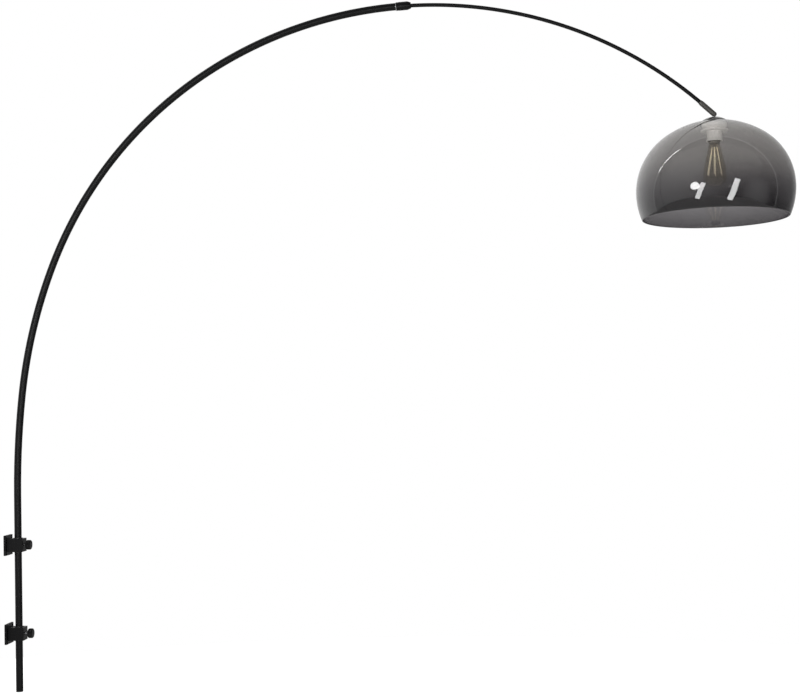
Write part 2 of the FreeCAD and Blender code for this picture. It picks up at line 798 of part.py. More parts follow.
def reach_tube():
    body = new_body("reach_tube")
    inner = d["reach_tube_diameter"] - 2 * d["reach_tube_wall"]
    bent_tube(body, "arc", d["reach_tube_diameter"], inner, d["reach_radius"],
              reach_outer_angle - d["reach_inner_angle"])
    x, z = on_reach_arc(d["reach_inner_angle"])
    place(body, x, z, d["reach_inner_angle"])


def guide_bush():
    """Curved bush on the reach tube's inner end, bent to the bow's own radius."""
    body = new_body("guide_bush")
    inner = d["reach_tube_diameter"] + 2 * d["running_fit"]
    bent_tube(body, "arc", tube_bore - 2 * d["loose_fit"], inner, d["reach_radius"],
              angle_of(d["bush_length"], d["reach_radius"]))
    x, z = on_reach_arc(d["reach_inner_angle"])
    place(body, x, z, d["reach_inner_angle"])


def tip_sleeve():
    """Tapered sleeve with a round end that holds the ball, and a slot that the neck swings in."""
    body = new_body("tip_sleeve")
    outer = d["sleeve_diameter"] / 2
    mouth = d["sleeve_mouth_diameter"] / 2
    tube_hole = d["reach_tube_diameter"] / 2 + d["tube_fit"]
    seat = d["ball_diameter"] / 2 + d["running_fit"]
    start = -d["sleeve_to_pivot"]
    tube_end = start + d["sleeve_tube_depth"] + d["end_gap"]
    turned(body, [(tube_hole, start), (mouth, start), (outer, start + d["sleeve_taper_length"]),
                  (outer, 0, outer), (0, outer), (0, seat, -seat), (seat, 0), (seat, tube_end),
                  (tube_hole, tube_end)])
    doc.recompute()
    swing = new_sketch(body, "swing_slot", "XZ_Plane")
    half = d["neck_diameter"] / 2 + d["loose_fit"]
    far = 2 * d["sleeve_diameter"]
    low = stem_angle - d["swing_out"]
    high = stem_angle + d["swing_in"]
    outline(swing, [(-half * cosine(low), half * sine(low)),
                    (far * sine(low) - half * cosine(low), far * cosine(low) + half * sine(low)),
                    (far * sine(high) + half * cosine(high), far * cosine(high) - half * sine(high)),
                    (half * cosine(high), -half * sine(high))])
    pocket(body, swing, 2 * half, False, True)
    place(body, pivot_x, pivot_z, d["sleeve_axis_angle"])


def ball_seat():
    """Bush behind the ball, with a hollow face for it and a bore for the wires."""
    body = new_body("ball_seat")
    ball = d["ball_diameter"] / 2 + d["running_fit"]
    outer = d["ball_diameter"] / 2
    bore = d["wire_bore"] / 2
    start = -(d["sleeve_to_pivot"] - d["sleeve_tube_depth"]) + 2 * d["end_gap"]
    lip_z = -(d["neck_diameter"] / 2 + d["loose_fit"])
    lip = root(ball * ball - lip_z * lip_z)
    bore_z = -root(ball * ball - bore * bore)
    turned(body, [(bore, start), (outer, start), (outer, lip_z), (lip, lip_z, -ball), (bore, bore_z)])
    place(body, pivot_x, pivot_z, d["sleeve_axis_angle"])


def swivel_stem():
    """Ball, neck, shoulder and threaded stem in one piece, bored for the wires."""
    body = new_body("swivel_stem")
    ball = d["ball_diameter"] / 2
    neck = d["neck_diameter"] / 2
    bore = d["wire_bore"] / 2
    shoulder = d["shoulder_diameter"] / 2
    stem = d["stem_diameter"] / 2
    top = root(ball * ball - bore * bore)
    meet = -root(ball * ball - neck * neck)
    step = -d["cap_top"]
    seat = step - d["shoulder_thickness"]
    turned(body, [(bore, -d["stem_length"]), (stem, -d["stem_length"]), (stem, seat), (shoulder, seat),
                  (shoulder, step), (neck, step), (neck, meet, ball), (bore, top)])
    place(body, pivot_x, pivot_z)


# ---------------------------------------------------------------- shade and lampholder

def top_cap():
    """Low domed cap that stands on the shade, with a boss under its counterbore."""
    body = new_body("top_cap")
    edge = d["cap_diameter"] / 2
    edge_z = dome_drop(edge, crown_radius) + d["running_fit"]
    inner_edge = edge - 2 * d["cap_wall"]
    inner_z = dome_drop(inner_edge, crown_radius) + d["running_fit"]
    rise = -d["cap_top"] - edge_z
    bend = (edge * edge + rise * rise) / (2 * rise)
    middle = -d["cap_top"] - bend
    inner_rise = -d["cap_top"] - d["cap_wall"] - inner_z
    inner_bend = (inner_edge * inner_edge + inner_rise * inner_rise) / (2 * inner_rise)
    inner_middle = -d["cap_top"] - d["cap_wall"] - inner_bend
    recess = d["shoulder_diameter"] / 2 + d["running_fit"]
    recess_z = -d["cap_top"] - d["shoulder_thickness"]
    boss = recess + 2 * d["cap_wall"]
    boss_end = recess_z - d["cap_wall"]
    hole = d["stem_diameter"] / 2 + d["running_fit"]
    rim_z = middle + root(bend * bend - recess * recess)
    boss_z = inner_middle + root(inner_bend * inner_bend - boss * boss)
    turned(body, [(hole, boss_end), (boss, boss_end), (boss, boss_z, -inner_bend),
                  (inner_edge, inner_z), (edge, edge_z, bend), (recess, rim_z), (recess, recess_z),
                  (hole, recess_z)])
    place(body, pivot_x, pivot_z)


def shade():
    """Smoked dome: a crown arc, a tighter shoulder arc and a skirt that draws in to the rim."""
    body = new_body("shade")
    wall = d["shade_wall"]
    wide = d["shade_radius"]
    shoulder = d["shade_shoulder_radius"]
    hole = d["stem_diameter"] / 2 + d["loose_fit"]
    rim = d["shade_rim_radius"]
    rim_z = waist_z - d["shade_skirt_height"]
    draw = wide - rim
    skirt = (draw * draw + d["shade_skirt_height"] * d["shade_skirt_height"]) / (2 * draw)
    share = (wide - shoulder) / (crown_radius - shoulder)
    fall = (crown_radius - d["shade_dome_height"]) / (crown_radius - shoulder)
    meet = [(share * bend, crown_centre + fall * bend) for bend in (crown_radius, crown_radius - wall)]
    top = dome_drop(hole, crown_radius)
    inner_top = dome_drop(hole, crown_radius - wall)
    rim_scale = (skirt - wall) / skirt
    rim_in = wide - skirt + (rim - wide + skirt) * rim_scale
    rim_in_z = waist_z - d["shade_skirt_height"] * rim_scale
    turned(body, [(rim, rim_z, skirt), (wide, waist_z, shoulder), (meet[0][0], meet[0][1], crown_radius),
                  (hole, top), (hole, inner_top, -(crown_radius - wall)),
                  (meet[1][0], meet[1][1], -(shoulder - wall)), (wide - wall, waist_z, -(skirt - wall)),
                  (rim_in, rim_in_z)])
    place(body, pivot_x, pivot_z)


def shade_carrier():
    """Bowl under the dome that the nut pulls up, drawn in to the lampholder."""
    body = new_body("shade_carrier")
    wide = d["carrier_diameter"] / 2
    narrow = d["holder_diameter"] / 2 + d["carrier_wall"]
    wall = d["carrier_wall"]
    hole = d["stem_diameter"] / 2 + d["running_fit"]
    belly = carrier_top - d["carrier_belly"]
    sweep = d["carrier_sweep"]
    turned(body, [(hole, carrier_top), (hole, carrier_top - wall), (wide - wall, carrier_top - wall),
                  (wide - wall, belly, -sweep), (narrow - wall, carrier_floor),
                  (narrow, carrier_floor, sweep), (wide, belly), (wide, carrier_top)])
    place(body, pivot_x, pivot_z)


def holder_nut():
    body = new_body("holder_nut")
    sketch = new_sketch(body, "hexagon", "XY_Plane", (0, 0, carrier_top - d["carrier_wall"]))
    flat = d["nut_across_flats"] / 2
    corner = flat * HEXAGON_CORNER
    outline(sketch, [(corner, 0), (corner / 2, flat), (-corner / 2, flat), (-corner, 0),
                     (-corner / 2, -flat), (corner / 2, -flat)])
    circle(sketch, d["stem_diameter"] + 2 * d["running_fit"])
    pad(body, sketch, d["nut_thickness"], True)
    place(body, pivot_x, pivot_z)


def holder_ring():
    """Wide thin ring round the lampholder's head."""
    body = new_body("holder_ring")
    wide = d["ring_diameter"] / 2
    inner = d["holder_diameter"] / 2 + d["running_fit"]
    top = carrier_floor - d["running_fit"]
    low = top - d["ring_thickness"]
    edge = wide - d["ring_thickness"] / 2
    turned(body, [(inner, low), (edge, low, d["ring_edge_radius"]), (edge, top), (inner, top)])
    place(body, pivot_x, pivot_z)


def lampholder_shell():
    """E27 lampholder: a cup that is open downwards, with a rolled lip."""
    body = new_body("lampholder_shell")
    outer = d["holder_diameter"] / 2
    inner = outer - d["holder_wall"]
    hole = d["wire_bore"]
    lip = d["holder_lip"]
    floor = holder_top - d["holder_wall"]
    turned(body, [(hole, holder_top), (hole, floor), (inner, floor), (inner, holder_end),
                  (outer, holder_end), (outer + lip, holder_end + lip), (outer + lip, holder_end + 2 * lip),
                  (outer, holder_end + 3 * lip), (outer, holder_top)])
    place(body, pivot_x, pivot_z)


def lampholder_core():
    body = new_body("lampholder_core")
    outer = d["holder_diameter"] / 2 - d["holder_wall"] - d["running_fit"]
    hole = d["wire_bore"] / 2
    turned(body, [(hole, core_floor), (outer, core_floor), (outer, core_top), (hole, core_top)])
    place(body, pivot_x, pivot_z)


def thread_liner():
    body = new_body("thread_liner")
    outer = d["thread_liner_diameter"] / 2
    inner = outer - d["thread_liner_wall"]
    end = holder_end + d["holder_lip"]
    turned(body, [(inner, end), (outer, end), (outer, core_floor), (inner, core_floor)])
    place(body, pivot_x, pivot_z)


def centre_contact():
    """Spring strip under the core that the bulb's tip presses on."""
    body = new_body("centre_contact")
    sketch = new_sketch(body, "strip", "XZ_Plane")
    run = d["contact_width"]
    thin = d["contact_thickness"]
    low = core_floor - d["contact_rise"] + d["running_fit"]
    outline(sketch, [(-run, core_floor), (-run, core_floor - thin), (run / 3, low), (run, low),
                     (run, low + thin), (run / 3, low + thin), (-run / 2, core_floor)])
    pad(body, sketch, d["contact_width"], False, True)
    place(body, pivot_x, pivot_z)


# ---------------------------------------------------------------- bulb

def bulb_cap():
    """Screw cap: a thin shell, open where the glass enters."""
    body = new_body("bulb_cap")
    outer = d["bulb_cap_diameter"] / 2
    wall = d["bulb_cap_wall"]
    shoulder = d["bulb_tip_diameter"] / 2 + 2 * wall
    slope = d["bulb_tip_height"]
    turned(body, [(outer - wall, bulb_cap_end), (outer, bulb_cap_end), (outer, bulb_cap_top),
                  (shoulder, bulb_cap_top + slope / 2), (shoulder, bulb_cap_top + slope / 2 - wall),
                  (outer - wall, bulb_cap_top - wall)])
    place(body, pivot_x, pivot_z)


def bulb_insulator():
    """Dark glass disc and the contact button, as one turned piece."""
    body = new_body("bulb_insulator")
    outer = d["bulb_tip_diameter"] / 2
    button = outer / 2
    slope = d["bulb_tip_height"]
    rim = outer + 2 * d["bulb_cap_wall"] - d["running_fit"]
    low = bulb_cap_top + slope / 2 - d["bulb_cap_wall"]
    turned(body, [(0, low), (rim, low), (rim, bulb_cap_top + slope / 2), (button, bulb_tip_z - slope / 5),
                  (button / 2, bulb_tip_z), (0, bulb_tip_z)])
    place(body, pivot_x, pivot_z)


bulb_waist = bulb_end + d["bulb_waist_to_end"]
bulb_round = dome_crown(d["bulb_radius"], d["bulb_waist_to_end"], d["bulb_shoulder_radius"])


def bulb_wall(inset):
    """Half profile of the bulb from its end to its neck, moved inwards by inset."""
    wide = d["bulb_radius"]
    shoulder = d["bulb_shoulder_radius"]
    flank = d["bulb_flank_radius"]
    share = (wide - shoulder) / (bulb_round - shoulder)
    fall = (bulb_round - d["bulb_waist_to_end"]) / (bulb_round - shoulder)
    end_centre = bulb_end + bulb_round
    end_bend = bulb_round - inset
    flank_bend = flank - inset
    flank_x = wide - flank + flank_bend * cosine(d["bulb_taper"])
    flank_z = bulb_waist + flank_bend * sine(d["bulb_taper"])
    neck_z = bulb_cap_end + d["bulb_neck_depth"]
    run = (neck_z - flank_z) / cosine(d["bulb_taper"])
    neck_x = flank_x - run * sine(d["bulb_taper"])
    return [(0, bulb_end + inset, end_bend), (share * end_bend, end_centre - fall * end_bend,
            shoulder - inset), (wide - inset, bulb_waist, flank_bend), (flank_x, flank_z), (neck_x, neck_z)]


def bulb_glass():
    """Clear tapered bulb, a closed skin of even wall with an open neck inside the cap."""
    body = new_body("bulb_glass")
    outside = bulb_wall(0.0)
    inside = bulb_wall(d["bulb_glass_wall"])
    back = [inside[4], inside[3] + (-inside[2][2],), inside[2][:2] + (-inside[1][2],),
            inside[1][:2] + (-inside[0][2],), inside[0][:2]]
    turned(body, outside + back)
    place(body, pivot_x, pivot_z)


mount_top = bulb_cap_end - d["end_gap"]
mount_end = mount_top - d["mount_length"]


def bulb_stem():
    """Glass mount inside the neck, flared at the cap and pinched at its end."""
    body = new_body("bulb_stem")
    wide = d["mount_radius"]
    pinch = d["wire_diameter"] * 2
    turned(body, [(0, mount_end), (pinch, mount_end), (pinch * 2, mount_top - d["mount_length"] / 2),
                  (wide, mount_top), (0, mount_top)])
    place(body, pivot_x, pivot_z)


def rods(label, diameter, length, top_circle, top_z, lean, count, turn_from):
    """Round rods on a circle about the shade's axis, leaning outwards as they go down."""
    pieces = []
    for index in range(count):
        rod = doc.addObject("Part::Cylinder", "%s_%d" % (label, index + 1))
        bind(rod, "Radius", diameter / 2)
        bind(rod, "Height", length)
        around = FreeCAD.Rotation(AXIS_Z, turn_from + FULL_TURN * index / count)
        down = FreeCAD.Rotation(AXIS_Y, HALF_TURN - number(lean))
        start = around.multVec(FreeCAD.Vector(number(top_circle), 0, number(top_z)))
        rod.Placement = FreeCAD.Placement(start, around.multiply(down))
        pieces.append(rod)
    group = doc.addObject("Part::Compound", label)
    group.Label = label
    group.Links = pieces
    bind(group, ".Placement.Base.x", pivot_x)
    bind(group, ".Placement.Base.z", pivot_z)
    nodes.append(group)


def bulb_filaments():
    rods("bulb_filaments", d["filament_diameter"], d["filament_length"], d["filament_top_circle"],
         mount_end - d["filament_top"], d["filament_lean"], int(number(d["filament_count"])),
         FILAMENT_TURN)


def bulb_wires():
    """Thin wires between the mount and the upper ends of the filaments."""
    top = d["wire_diameter"] / 2 + d["running_fit"]
    drop = d["filament_top"] - top - d["wire_diameter"]
    start = d["wire_diameter"] * 1.5
    out = d["filament_top_circle"] - start - d["filament_diameter"] / 2
    lean = math.degrees(math.atan2(number(out), number(drop)))
    rods("bulb_wires", d["wire_diameter"], root(out * out + drop * drop), start, mount_end - top,
         lean, int(number(d["filament_count"])), FILAMENT_TURN)


# ---------------------------------------------------------------- build and write

for side, drop, gap in (("upper", 0, d["upper_knob_gap"]), ("lower", 1, d["lower_knob_gap"])):
    height = -d["bracket_spacing"] * drop
    wall_plate(side, height)
    clamp_block(side, height)
    block_screws(side, height)
    clamp_liner(side, height)
    pressure_pad(side, height)
    clamp_stud(side, height, gap)
    clamp_knob(side, height, gap)

for make in (lower_pole, upper_bow, joint_spigot, joint_grub_screw, bottom_end_plug, collar_ferrule,
             lock_collet, lock_collar, reach_tube, guide_bush, tip_sleeve, ball_seat, swivel_stem, top_cap,
             shade, shade_carrier, holder_nut, holder_ring, lampholder_shell, lampholder_core, thread_liner,
             centre_contact, bulb_cap, bulb_insulator, bulb_glass, bulb_stem, bulb_filaments, bulb_wires):
    make()
doc.recompute()

failed = [item.Name for item in doc.Objects if "Invalid" in item.State or "Error" in item.State]
failed += [node.Label for node in nodes
           if node.Shape.isNull() or not node.Shape.isValid() or not node.Shape.Solids]
if failed:
    raise RuntimeError("failed: " + ", ".join(failed))
for node in nodes:
    node.Shape.exportStep("parts/%s.step" % node.Label)
    box = node.Shape.BoundBox
    print("%-20s %d solid(s) %10.1f mm3  x %.1f..%.1f  y %.1f..%.1f  z %.1f..%.1f" % (
        node.Label, len(node.Shape.Solids), node.Shape.Volume, box.XMin, box.XMax, box.YMin, box.YMax,
        box.ZMin, box.ZMax))
print("reach arc centre x %.4f z %.4f" % (centre_x.value, centre_z.value))
print("bow end x %.4f z %.4f" % (bow_end_x.value, bow_end_z.value))
print("pivot x %.4f z %.4f" % (pivot_x.value, pivot_z.value))
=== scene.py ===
"""Wall-mounted bow lamp: finishes, smooth visible pieces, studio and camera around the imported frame."""

import json
import math

import bmesh
import bpy
from mathutils import Matrix, Vector


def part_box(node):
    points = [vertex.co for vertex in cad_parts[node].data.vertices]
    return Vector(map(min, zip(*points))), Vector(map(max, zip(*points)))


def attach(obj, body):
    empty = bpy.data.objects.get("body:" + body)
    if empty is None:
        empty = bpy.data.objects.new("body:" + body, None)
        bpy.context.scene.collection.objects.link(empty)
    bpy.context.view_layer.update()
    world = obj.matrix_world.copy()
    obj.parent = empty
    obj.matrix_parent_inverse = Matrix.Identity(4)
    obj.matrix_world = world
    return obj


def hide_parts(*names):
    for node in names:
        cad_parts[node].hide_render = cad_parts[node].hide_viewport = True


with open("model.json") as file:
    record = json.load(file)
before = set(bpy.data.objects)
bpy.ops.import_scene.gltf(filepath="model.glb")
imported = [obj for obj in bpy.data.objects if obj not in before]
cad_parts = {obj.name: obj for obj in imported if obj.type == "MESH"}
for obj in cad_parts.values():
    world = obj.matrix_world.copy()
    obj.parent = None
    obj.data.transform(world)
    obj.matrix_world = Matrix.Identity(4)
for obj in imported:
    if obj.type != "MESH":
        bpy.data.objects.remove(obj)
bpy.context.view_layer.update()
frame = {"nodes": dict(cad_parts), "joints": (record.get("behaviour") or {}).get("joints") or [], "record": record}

MM = 0.001
joints = {joint["name"]: joint for joint in frame["joints"]}
REACH_CENTRE = Vector(joints["arm_reach"]["pos_m"])
PIVOT = Vector(joints["shade_tilt"]["pos_m"])
BOW_END = Vector(joints["collar_turn"]["pos_m"])
BOW_END_AXIS = Vector(joints["collar_turn"]["axis"])
POLE_X = joints["arm_swivel"]["pos_m"][0]

# ------------------------------------------------------------------ bow, as it is bent
TUBE_RADIUS = 8.75 * MM
REACH_TUBE_RADIUS = 4.6 * MM
POLE_STRAIGHT_TOP = 124.1 * MM
BENDS = ((2189.0 * MM, 0.0, 6.51), (1257.0 * MM, 6.51, 22.0), (981.6 * MM, 22.0, 59.15))
REACH_RADIUS = 1016.4 * MM
LAST_BEND_FROM = 59.15
BOW_END_LEAN = 86.25
REACH_TUBE_FROM = 82.7
REACH_TUBE_TO = 132.79
SLEEVE_LEAN = 132.1
DEGREES_PER_STEP = 1.0
TUBE_SIDES = 48
TURNED_SIDES = 96
ARC_STEP = 3.0


# ------------------------------------------------------------------ colour and nodes

def linear(hex_colour):
    """sRGB hex to linear red, green, blue and a full alpha."""
    channels = [int(hex_colour[index:index + 2], 16) / 255 for index in (1, 3, 5)]
    return tuple(c / 12.92 if c <= 0.04045 else ((c + 0.055) / 1.055) ** 2.4 for c in channels) + (1.0,)


def add(tree, kind, inputs=(), **settings):
    """Add a node, set its properties, then set or link its inputs."""
    node = tree.nodes.new(kind)
    for name, value in settings.items():
        setattr(node, name, value)
    for key, value in dict(inputs).items():
        if isinstance(value, bpy.types.NodeSocket):
            tree.links.new(value, node.inputs[key])
        else:
            node.inputs[key].default_value = value
    return node


def new_material(name, **inputs):
    """A material whose Principled shader has these sockets set."""
    material = bpy.data.materials.new(name)
    material.use_nodes = True
    shader = material.node_tree.nodes["Principled BSDF"]
    for key, value in inputs.items():
        shader.inputs[key.replace("_", " ")].default_value = value
    return material, material.node_tree, shader


def object_noise(tree, scale, detail=2.0, stretch=(1, 1, 1)):
    """Noise on Object coordinates; scale is in cells per metre."""
    place = add(tree, "ShaderNodeTexCoord").outputs["Object"]
    mapped = add(tree, "ShaderNodeMapping", {"Vector": place, "Scale": stretch}).outputs["Vector"]
    noise = add(tree, "ShaderNodeTexNoise", {"Vector": mapped, "Scale": scale, "Detail": detail})
    return noise.outputs["Fac"]


def maths(tree, operation, *values):
    """One Math node on numbers or sockets."""
    return add(tree, "ShaderNodeMath", dict(enumerate(values)), operation=operation).outputs[0]


def ramp(tree, value, low, high):
    """Map a 0 to 1 value onto low to high."""
    return add(tree, "ShaderNodeMapRange", {"Value": value, "To Min": low, "To Max": high}).outputs["Result"]


def mix_colour(tree, factor, first, second):
    """Blend two sRGB hex colours by a factor."""
    node = add(tree, "ShaderNodeMix", data_type="RGBA")
    tree.links.new(factor, node.inputs[0])
    node.inputs[6].default_value = linear(first)
    node.inputs[7].default_value = linear(second)
    return node.outputs[2]


def finish_shader(tree, shader, colour, roughness=None, height=None, depth=0.0):
    """Link a colour, a roughness and a relief of this depth in metres to a Principled shader."""
    tree.links.new(colour, shader.inputs["Base Color"])
    if roughness is not None:
        tree.links.new(roughness, shader.inputs["Roughness"])
    if height is not None:
        relief = add(tree, "ShaderNodeBump", {"Height": height, "Distance": depth, "Strength": 1.0})
        tree.links.new(relief.outputs["Normal"], shader.inputs["Normal"])


def seen_directly(tree):
    """The light path node, and one where the camera looks, by itself or through a clear wall."""
    rays = add(tree, "ShaderNodeLightPath").outputs
    return rays, maths(tree, "MAXIMUM", rays["Is Camera Ray"], rays["Is Transmission Ray"])


def powder_coat():
    """Satin black powder coat on steel: a fine orange peel about 1.2 mm across and a soft sheen."""
    material, tree, shader = new_material("satin_black_powder_coat", IOR=1.5, Specular_IOR_Level=0.13)
    peel = object_noise(tree, 1 / (1.2 * MM))
    patch = object_noise(tree, 1 / (60 * MM), 3.0)
    finish_shader(tree, shader, mix_colour(tree, patch, "#070708", "#0c0c0d"),
                  ramp(tree, patch, 0.36, 0.44), peel, 0.02 * MM)
    return material


def pass_lamps(tree, shader, tint):
    """Let lamp light and soft light straight through a see-through wall, times an sRGB hex tint.

    The smoked walls use white here, so that the lampholder behind them is lit as in the photograph.
    """
    rays = add(tree, "ShaderNodeLightPath").outputs
    through = maths(tree, "MAXIMUM", rays["Is Shadow Ray"], rays["Is Diffuse Ray"])
    open_wall = add(tree, "ShaderNodeBsdfTransparent", {"Color": linear(tint)})
    mix = add(tree, "ShaderNodeMixShader", {0: through, 1: shader.outputs[0], 2: open_wall.outputs[0]})
    tree.links.new(mix.outputs[0], tree.nodes["Material Output"].inputs["Surface"])


# Tint at a share of the shade's height, from its rim up to its crown.
SHADE_TINTS = ((0.0, "#494749"), (0.28, "#787678"), (0.5, "#a09e9d"), (1.0, "#b6b4b2"))


def smoked_acrylic():
    """Smoked acrylic whose tint runs from dark at the rim to light at the crown."""
    material, tree, shader = new_material("smoked_acrylic", IOR=1.49, Roughness=0.0, Transmission_Weight=1.0)
    place = add(tree, "ShaderNodeTexCoord").outputs["Object"]
    height = add(tree, "ShaderNodeSeparateXYZ", {"Vector": place}).outputs["Z"]
    low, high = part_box("shade")
    share = add(tree, "ShaderNodeMapRange", {"Value": height, "From Min": low.z, "From Max": high.z})
    tint = add(tree, "ShaderNodeValToRGB", {"Fac": share.outputs["Result"]})
    while len(tint.color_ramp.elements) < len(SHADE_TINTS):
        tint.color_ramp.elements.new(0.5)
    for stop, (share_up, colour) in zip(tint.color_ramp.elements, SHADE_TINTS):
        stop.position = share_up
        stop.color = linear(colour)
    finish_shader(tree, shader, tint.outputs["Color"])
    pass_lamps(tree, shader, "#ffffff")
    return material


def cap_acrylic():
    """The same smoked acrylic in the small cap, moulded 2 mm thick, with painted shade in a dark ring at its solid
    rim, where the wall is seen edge-on.
    """
    material, tree, shader = new_material("smoked_acrylic_cap", IOR=1.49, Transmission_Weight=1.0)
    flow = object_noise(tree, 1 / (40 * MM))
    place = add(tree, "ShaderNodeTexCoord").outputs["Object"]
    from_axis = add(tree, "ShaderNodeVectorMath", {0: place, 1: (PIVOT.x, 0, 0)}, operation="SUBTRACT")
    flat = add(tree, "ShaderNodeVectorMath", {0: from_axis.outputs[0], 1: (1, 1, 0)}, operation="MULTIPLY")
    radius = add(tree, "ShaderNodeVectorMath", {0: flat.outputs[0]}, operation="LENGTH").outputs["Value"]
    # Painted shade: a dark ring near the cap's edge stands in for the wall seen edge-on.
    painted_edge_shade = add(tree, "ShaderNodeMapRange", {"Value": radius, "From Min": 29.5 * MM, "From Max": 31.5 * MM})
    finish_shader(tree, shader, mix_colour(tree, painted_edge_shade.outputs["Result"], "#868481", "#2e2c2b"),
                  ramp(tree, flow, 0.03, 0.06))
    pass_lamps(tree, shader, "#ffffff")
    return material


def white_plastic():
    """Moulded white thermoplastic with a faint grain 0.6 mm across."""
    material, tree, shader = new_material("moulded_white_plastic", IOR=1.5)
    grain = object_noise(tree, 1 / (0.6 * MM))
    cloud = object_noise(tree, 1 / (25 * MM))
    finish_shader(tree, shader, mix_colour(tree, cloud, "#e9e7e3", "#f1efeb"),
                  ramp(tree, cloud, 0.38, 0.46), grain, 0.01 * MM)
    return material


def pale_ceramic():
    """Pressed steatite, matt and slightly grainy."""
    material, tree, shader = new_material("pressed_steatite", IOR=1.6)
    grain = object_noise(tree, 1 / (0.8 * MM), 4.0)
    finish_shader(tree, shader, mix_colour(tree, grain, "#d6d1c6", "#e4dfd5"),
                  ramp(tree, grain, 0.6, 0.75), grain, 0.03 * MM)
    return material


def sleeve_coat():
    """The same powder coat on the end sleeve, which looks paler and more matt than the tube; the paler colour is
    painted sheen.
    """
    material, tree, shader = new_material("satin_black_painted_sheen", IOR=1.5, Specular_IOR_Level=0.4)
    painted_sheen_mottle = object_noise(tree, 1 / (18 * MM), 3.0)
    peel = object_noise(tree, 1 / (1.2 * MM))
    # Painted sheen: both colours are paler than the tube's own coat.
    finish_shader(tree, shader, mix_colour(tree, painted_sheen_mottle, "#2e2d2b", "#403e3b"),
                  ramp(tree, painted_sheen_mottle, 0.4, 0.5), peel, 0.02 * MM)
    return material


def black_nylon():
    """Moulded black nylon with a matt, slightly mottled skin."""
    material, tree, shader = new_material("moulded_black_nylon", IOR=1.53)
    grain = object_noise(tree, 1 / (0.9 * MM), 3.0)
    finish_shader(tree, shader, mix_colour(tree, grain, "#151516", "#1f1f20"),
                  ramp(tree, grain, 0.5, 0.62), grain, 0.02 * MM)
    return material


def metal(name, dark, light, rough_low, rough_high, grain_mm, stretch):
    """Machined or plated metal with tool marks of this spacing, drawn out along one axis."""
    material, tree, shader = new_material(name, Metallic=1.0)
    marks = object_noise(tree, 1 / (grain_mm * MM), 2.0, stretch)
    finish_shader(tree, shader, mix_colour(tree, marks, dark, light),
                  ramp(tree, marks, rough_low, rough_high), marks, 0.01 * MM)
    return material


def clear_glass():
    """Blown soda-lime glass with a faint warm coat and a very faint waviness 12 mm long."""
    material, tree, shader = new_material("blown_clear_glass", IOR=1.5, Roughness=0.0,
                                          Transmission_Weight=1.0)
    wave = object_noise(tree, 1 / (12 * MM))
    finish_shader(tree, shader, mix_colour(tree, wave, "#e8e3d9", "#eeeae1"), None, wave, 0.05 * MM)
    pass_lamps(tree, shader, "#f8f8f8")
    return material


def dark_glass():
    """Dark vitrite in the bulb's end."""
    material, tree, shader = new_material("dark_vitrite", IOR=1.5)
    cloud = object_noise(tree, 1 / (3 * MM))
    finish_shader(tree, shader, mix_colour(tree, cloud, "#0b0b0e", "#16161a"), ramp(tree, cloud, 0.08, 0.15))
    return material


def filament_coat():
    """Pale phosphor silicone on the filament rods, slightly lumpy, with a faint painted glow of their own."""
    # Painted glow: the unlit rods are given a little light of their own to look brighter.
    material, tree, shader = new_material("phosphor_coat", IOR=1.41, Emission_Strength=0.6)
    shader.inputs["Emission Color"].default_value = linear("#f4ecd4")
    lump = object_noise(tree, 1 / (1.5 * MM))
    finish_shader(tree, shader, mix_colour(tree, lump, "#efe6c8", "#fbf6e4"),
                  ramp(tree, lump, 0.35, 0.5), lump, 0.05 * MM)
    return material


MATERIALS = {
    "satin_black": powder_coat(),
    "black_nylon": black_nylon(),
    "zinc_steel": metal("zinc_plated_steel", "#8f9092", "#a9aaac", 0.28, 0.42, 0.5, (1, 1, 6)),
    "turned_brass": metal("turned_brass", "#a98442", "#c2a05c", 0.22, 0.36, 0.4, (6, 1, 1)),
    "smoked_acrylic": smoked_acrylic(),
    "white_plastic": white_plastic(),
    "pale_ceramic": pale_ceramic(),
    "nickel_plate": metal("nickel_plated_brass", "#b4b0a6", "#c9c6bd", 0.16, 0.26, 0.6, (1, 1, 6)),
    "dark_glass": dark_glass(),
    "clear_glass": clear_glass(),
    "filament_coat": filament_coat(),
    "smoked_cap": cap_acrylic(),
    # The end sleeve's coat with painted sheen.
    "painted_sheen_black": sleeve_coat(),
}


# ------------------------------------------------------------------ mesh helpers

def finish_piece(bm, name, slot, body, replaced, material=None, sharp_degrees=35.0):
    """Turn a bmesh into a piece that rides on a body and stands for its CAD nodes."""
    bmesh.ops.remove_doubles(bm, verts=bm.verts, dist=1e-7)
    bmesh.ops.recalc_face_normals(bm, faces=bm.faces)
    mesh = bpy.data.meshes.new(name)
    bm.to_mesh(mesh)
    bm.free()
    mesh.shade_smooth()
    mesh.set_sharp_from_angle(angle=math.radians(sharp_degrees))
    mesh.materials.append(MATERIALS[material or slot])
    piece = bpy.data.objects.new(name, mesh)
    bpy.context.scene.collection.objects.link(piece)
    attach(piece, body)
    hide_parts(*replaced)
    return piece


def line_to(bm, tip, r, z):
    """Extend a profile by a straight edge to radius r, height z."""
    made = bmesh.ops.extrude_vert_indiv(bm, verts=[tip])
    made["verts"][0].co = (r, 0, z)
    return made["verts"][0]


def arc_about(bm, tip, centre, degrees, steps):
    """Extend a profile by an arc about a centre; positive turns the profile clockwise in X, Z."""
    made = bmesh.ops.spin(bm, geom=[tip], cent=(centre[0], 0, centre[1]), axis=(0, 1, 0),
                          angle=math.radians(degrees), steps=steps, use_duplicate=False)
    return [item for item in made["geom_last"] if isinstance(item, bmesh.types.BMVert)][0]


def turn_profile(bm, sides=TURNED_SIDES):
    """Spin everything in the bmesh about Z into a closed turned shape."""
    geometry = bm.verts[:] + bm.edges[:]
    bmesh.ops.spin(bm, geom=geometry, cent=(0, 0, 0), axis=(0, 0, 1), angle=math.tau, steps=sides,
                   use_merge=True, use_duplicate=False)
    bmesh.ops.remove_doubles(bm, verts=bm.verts, dist=1e-7)


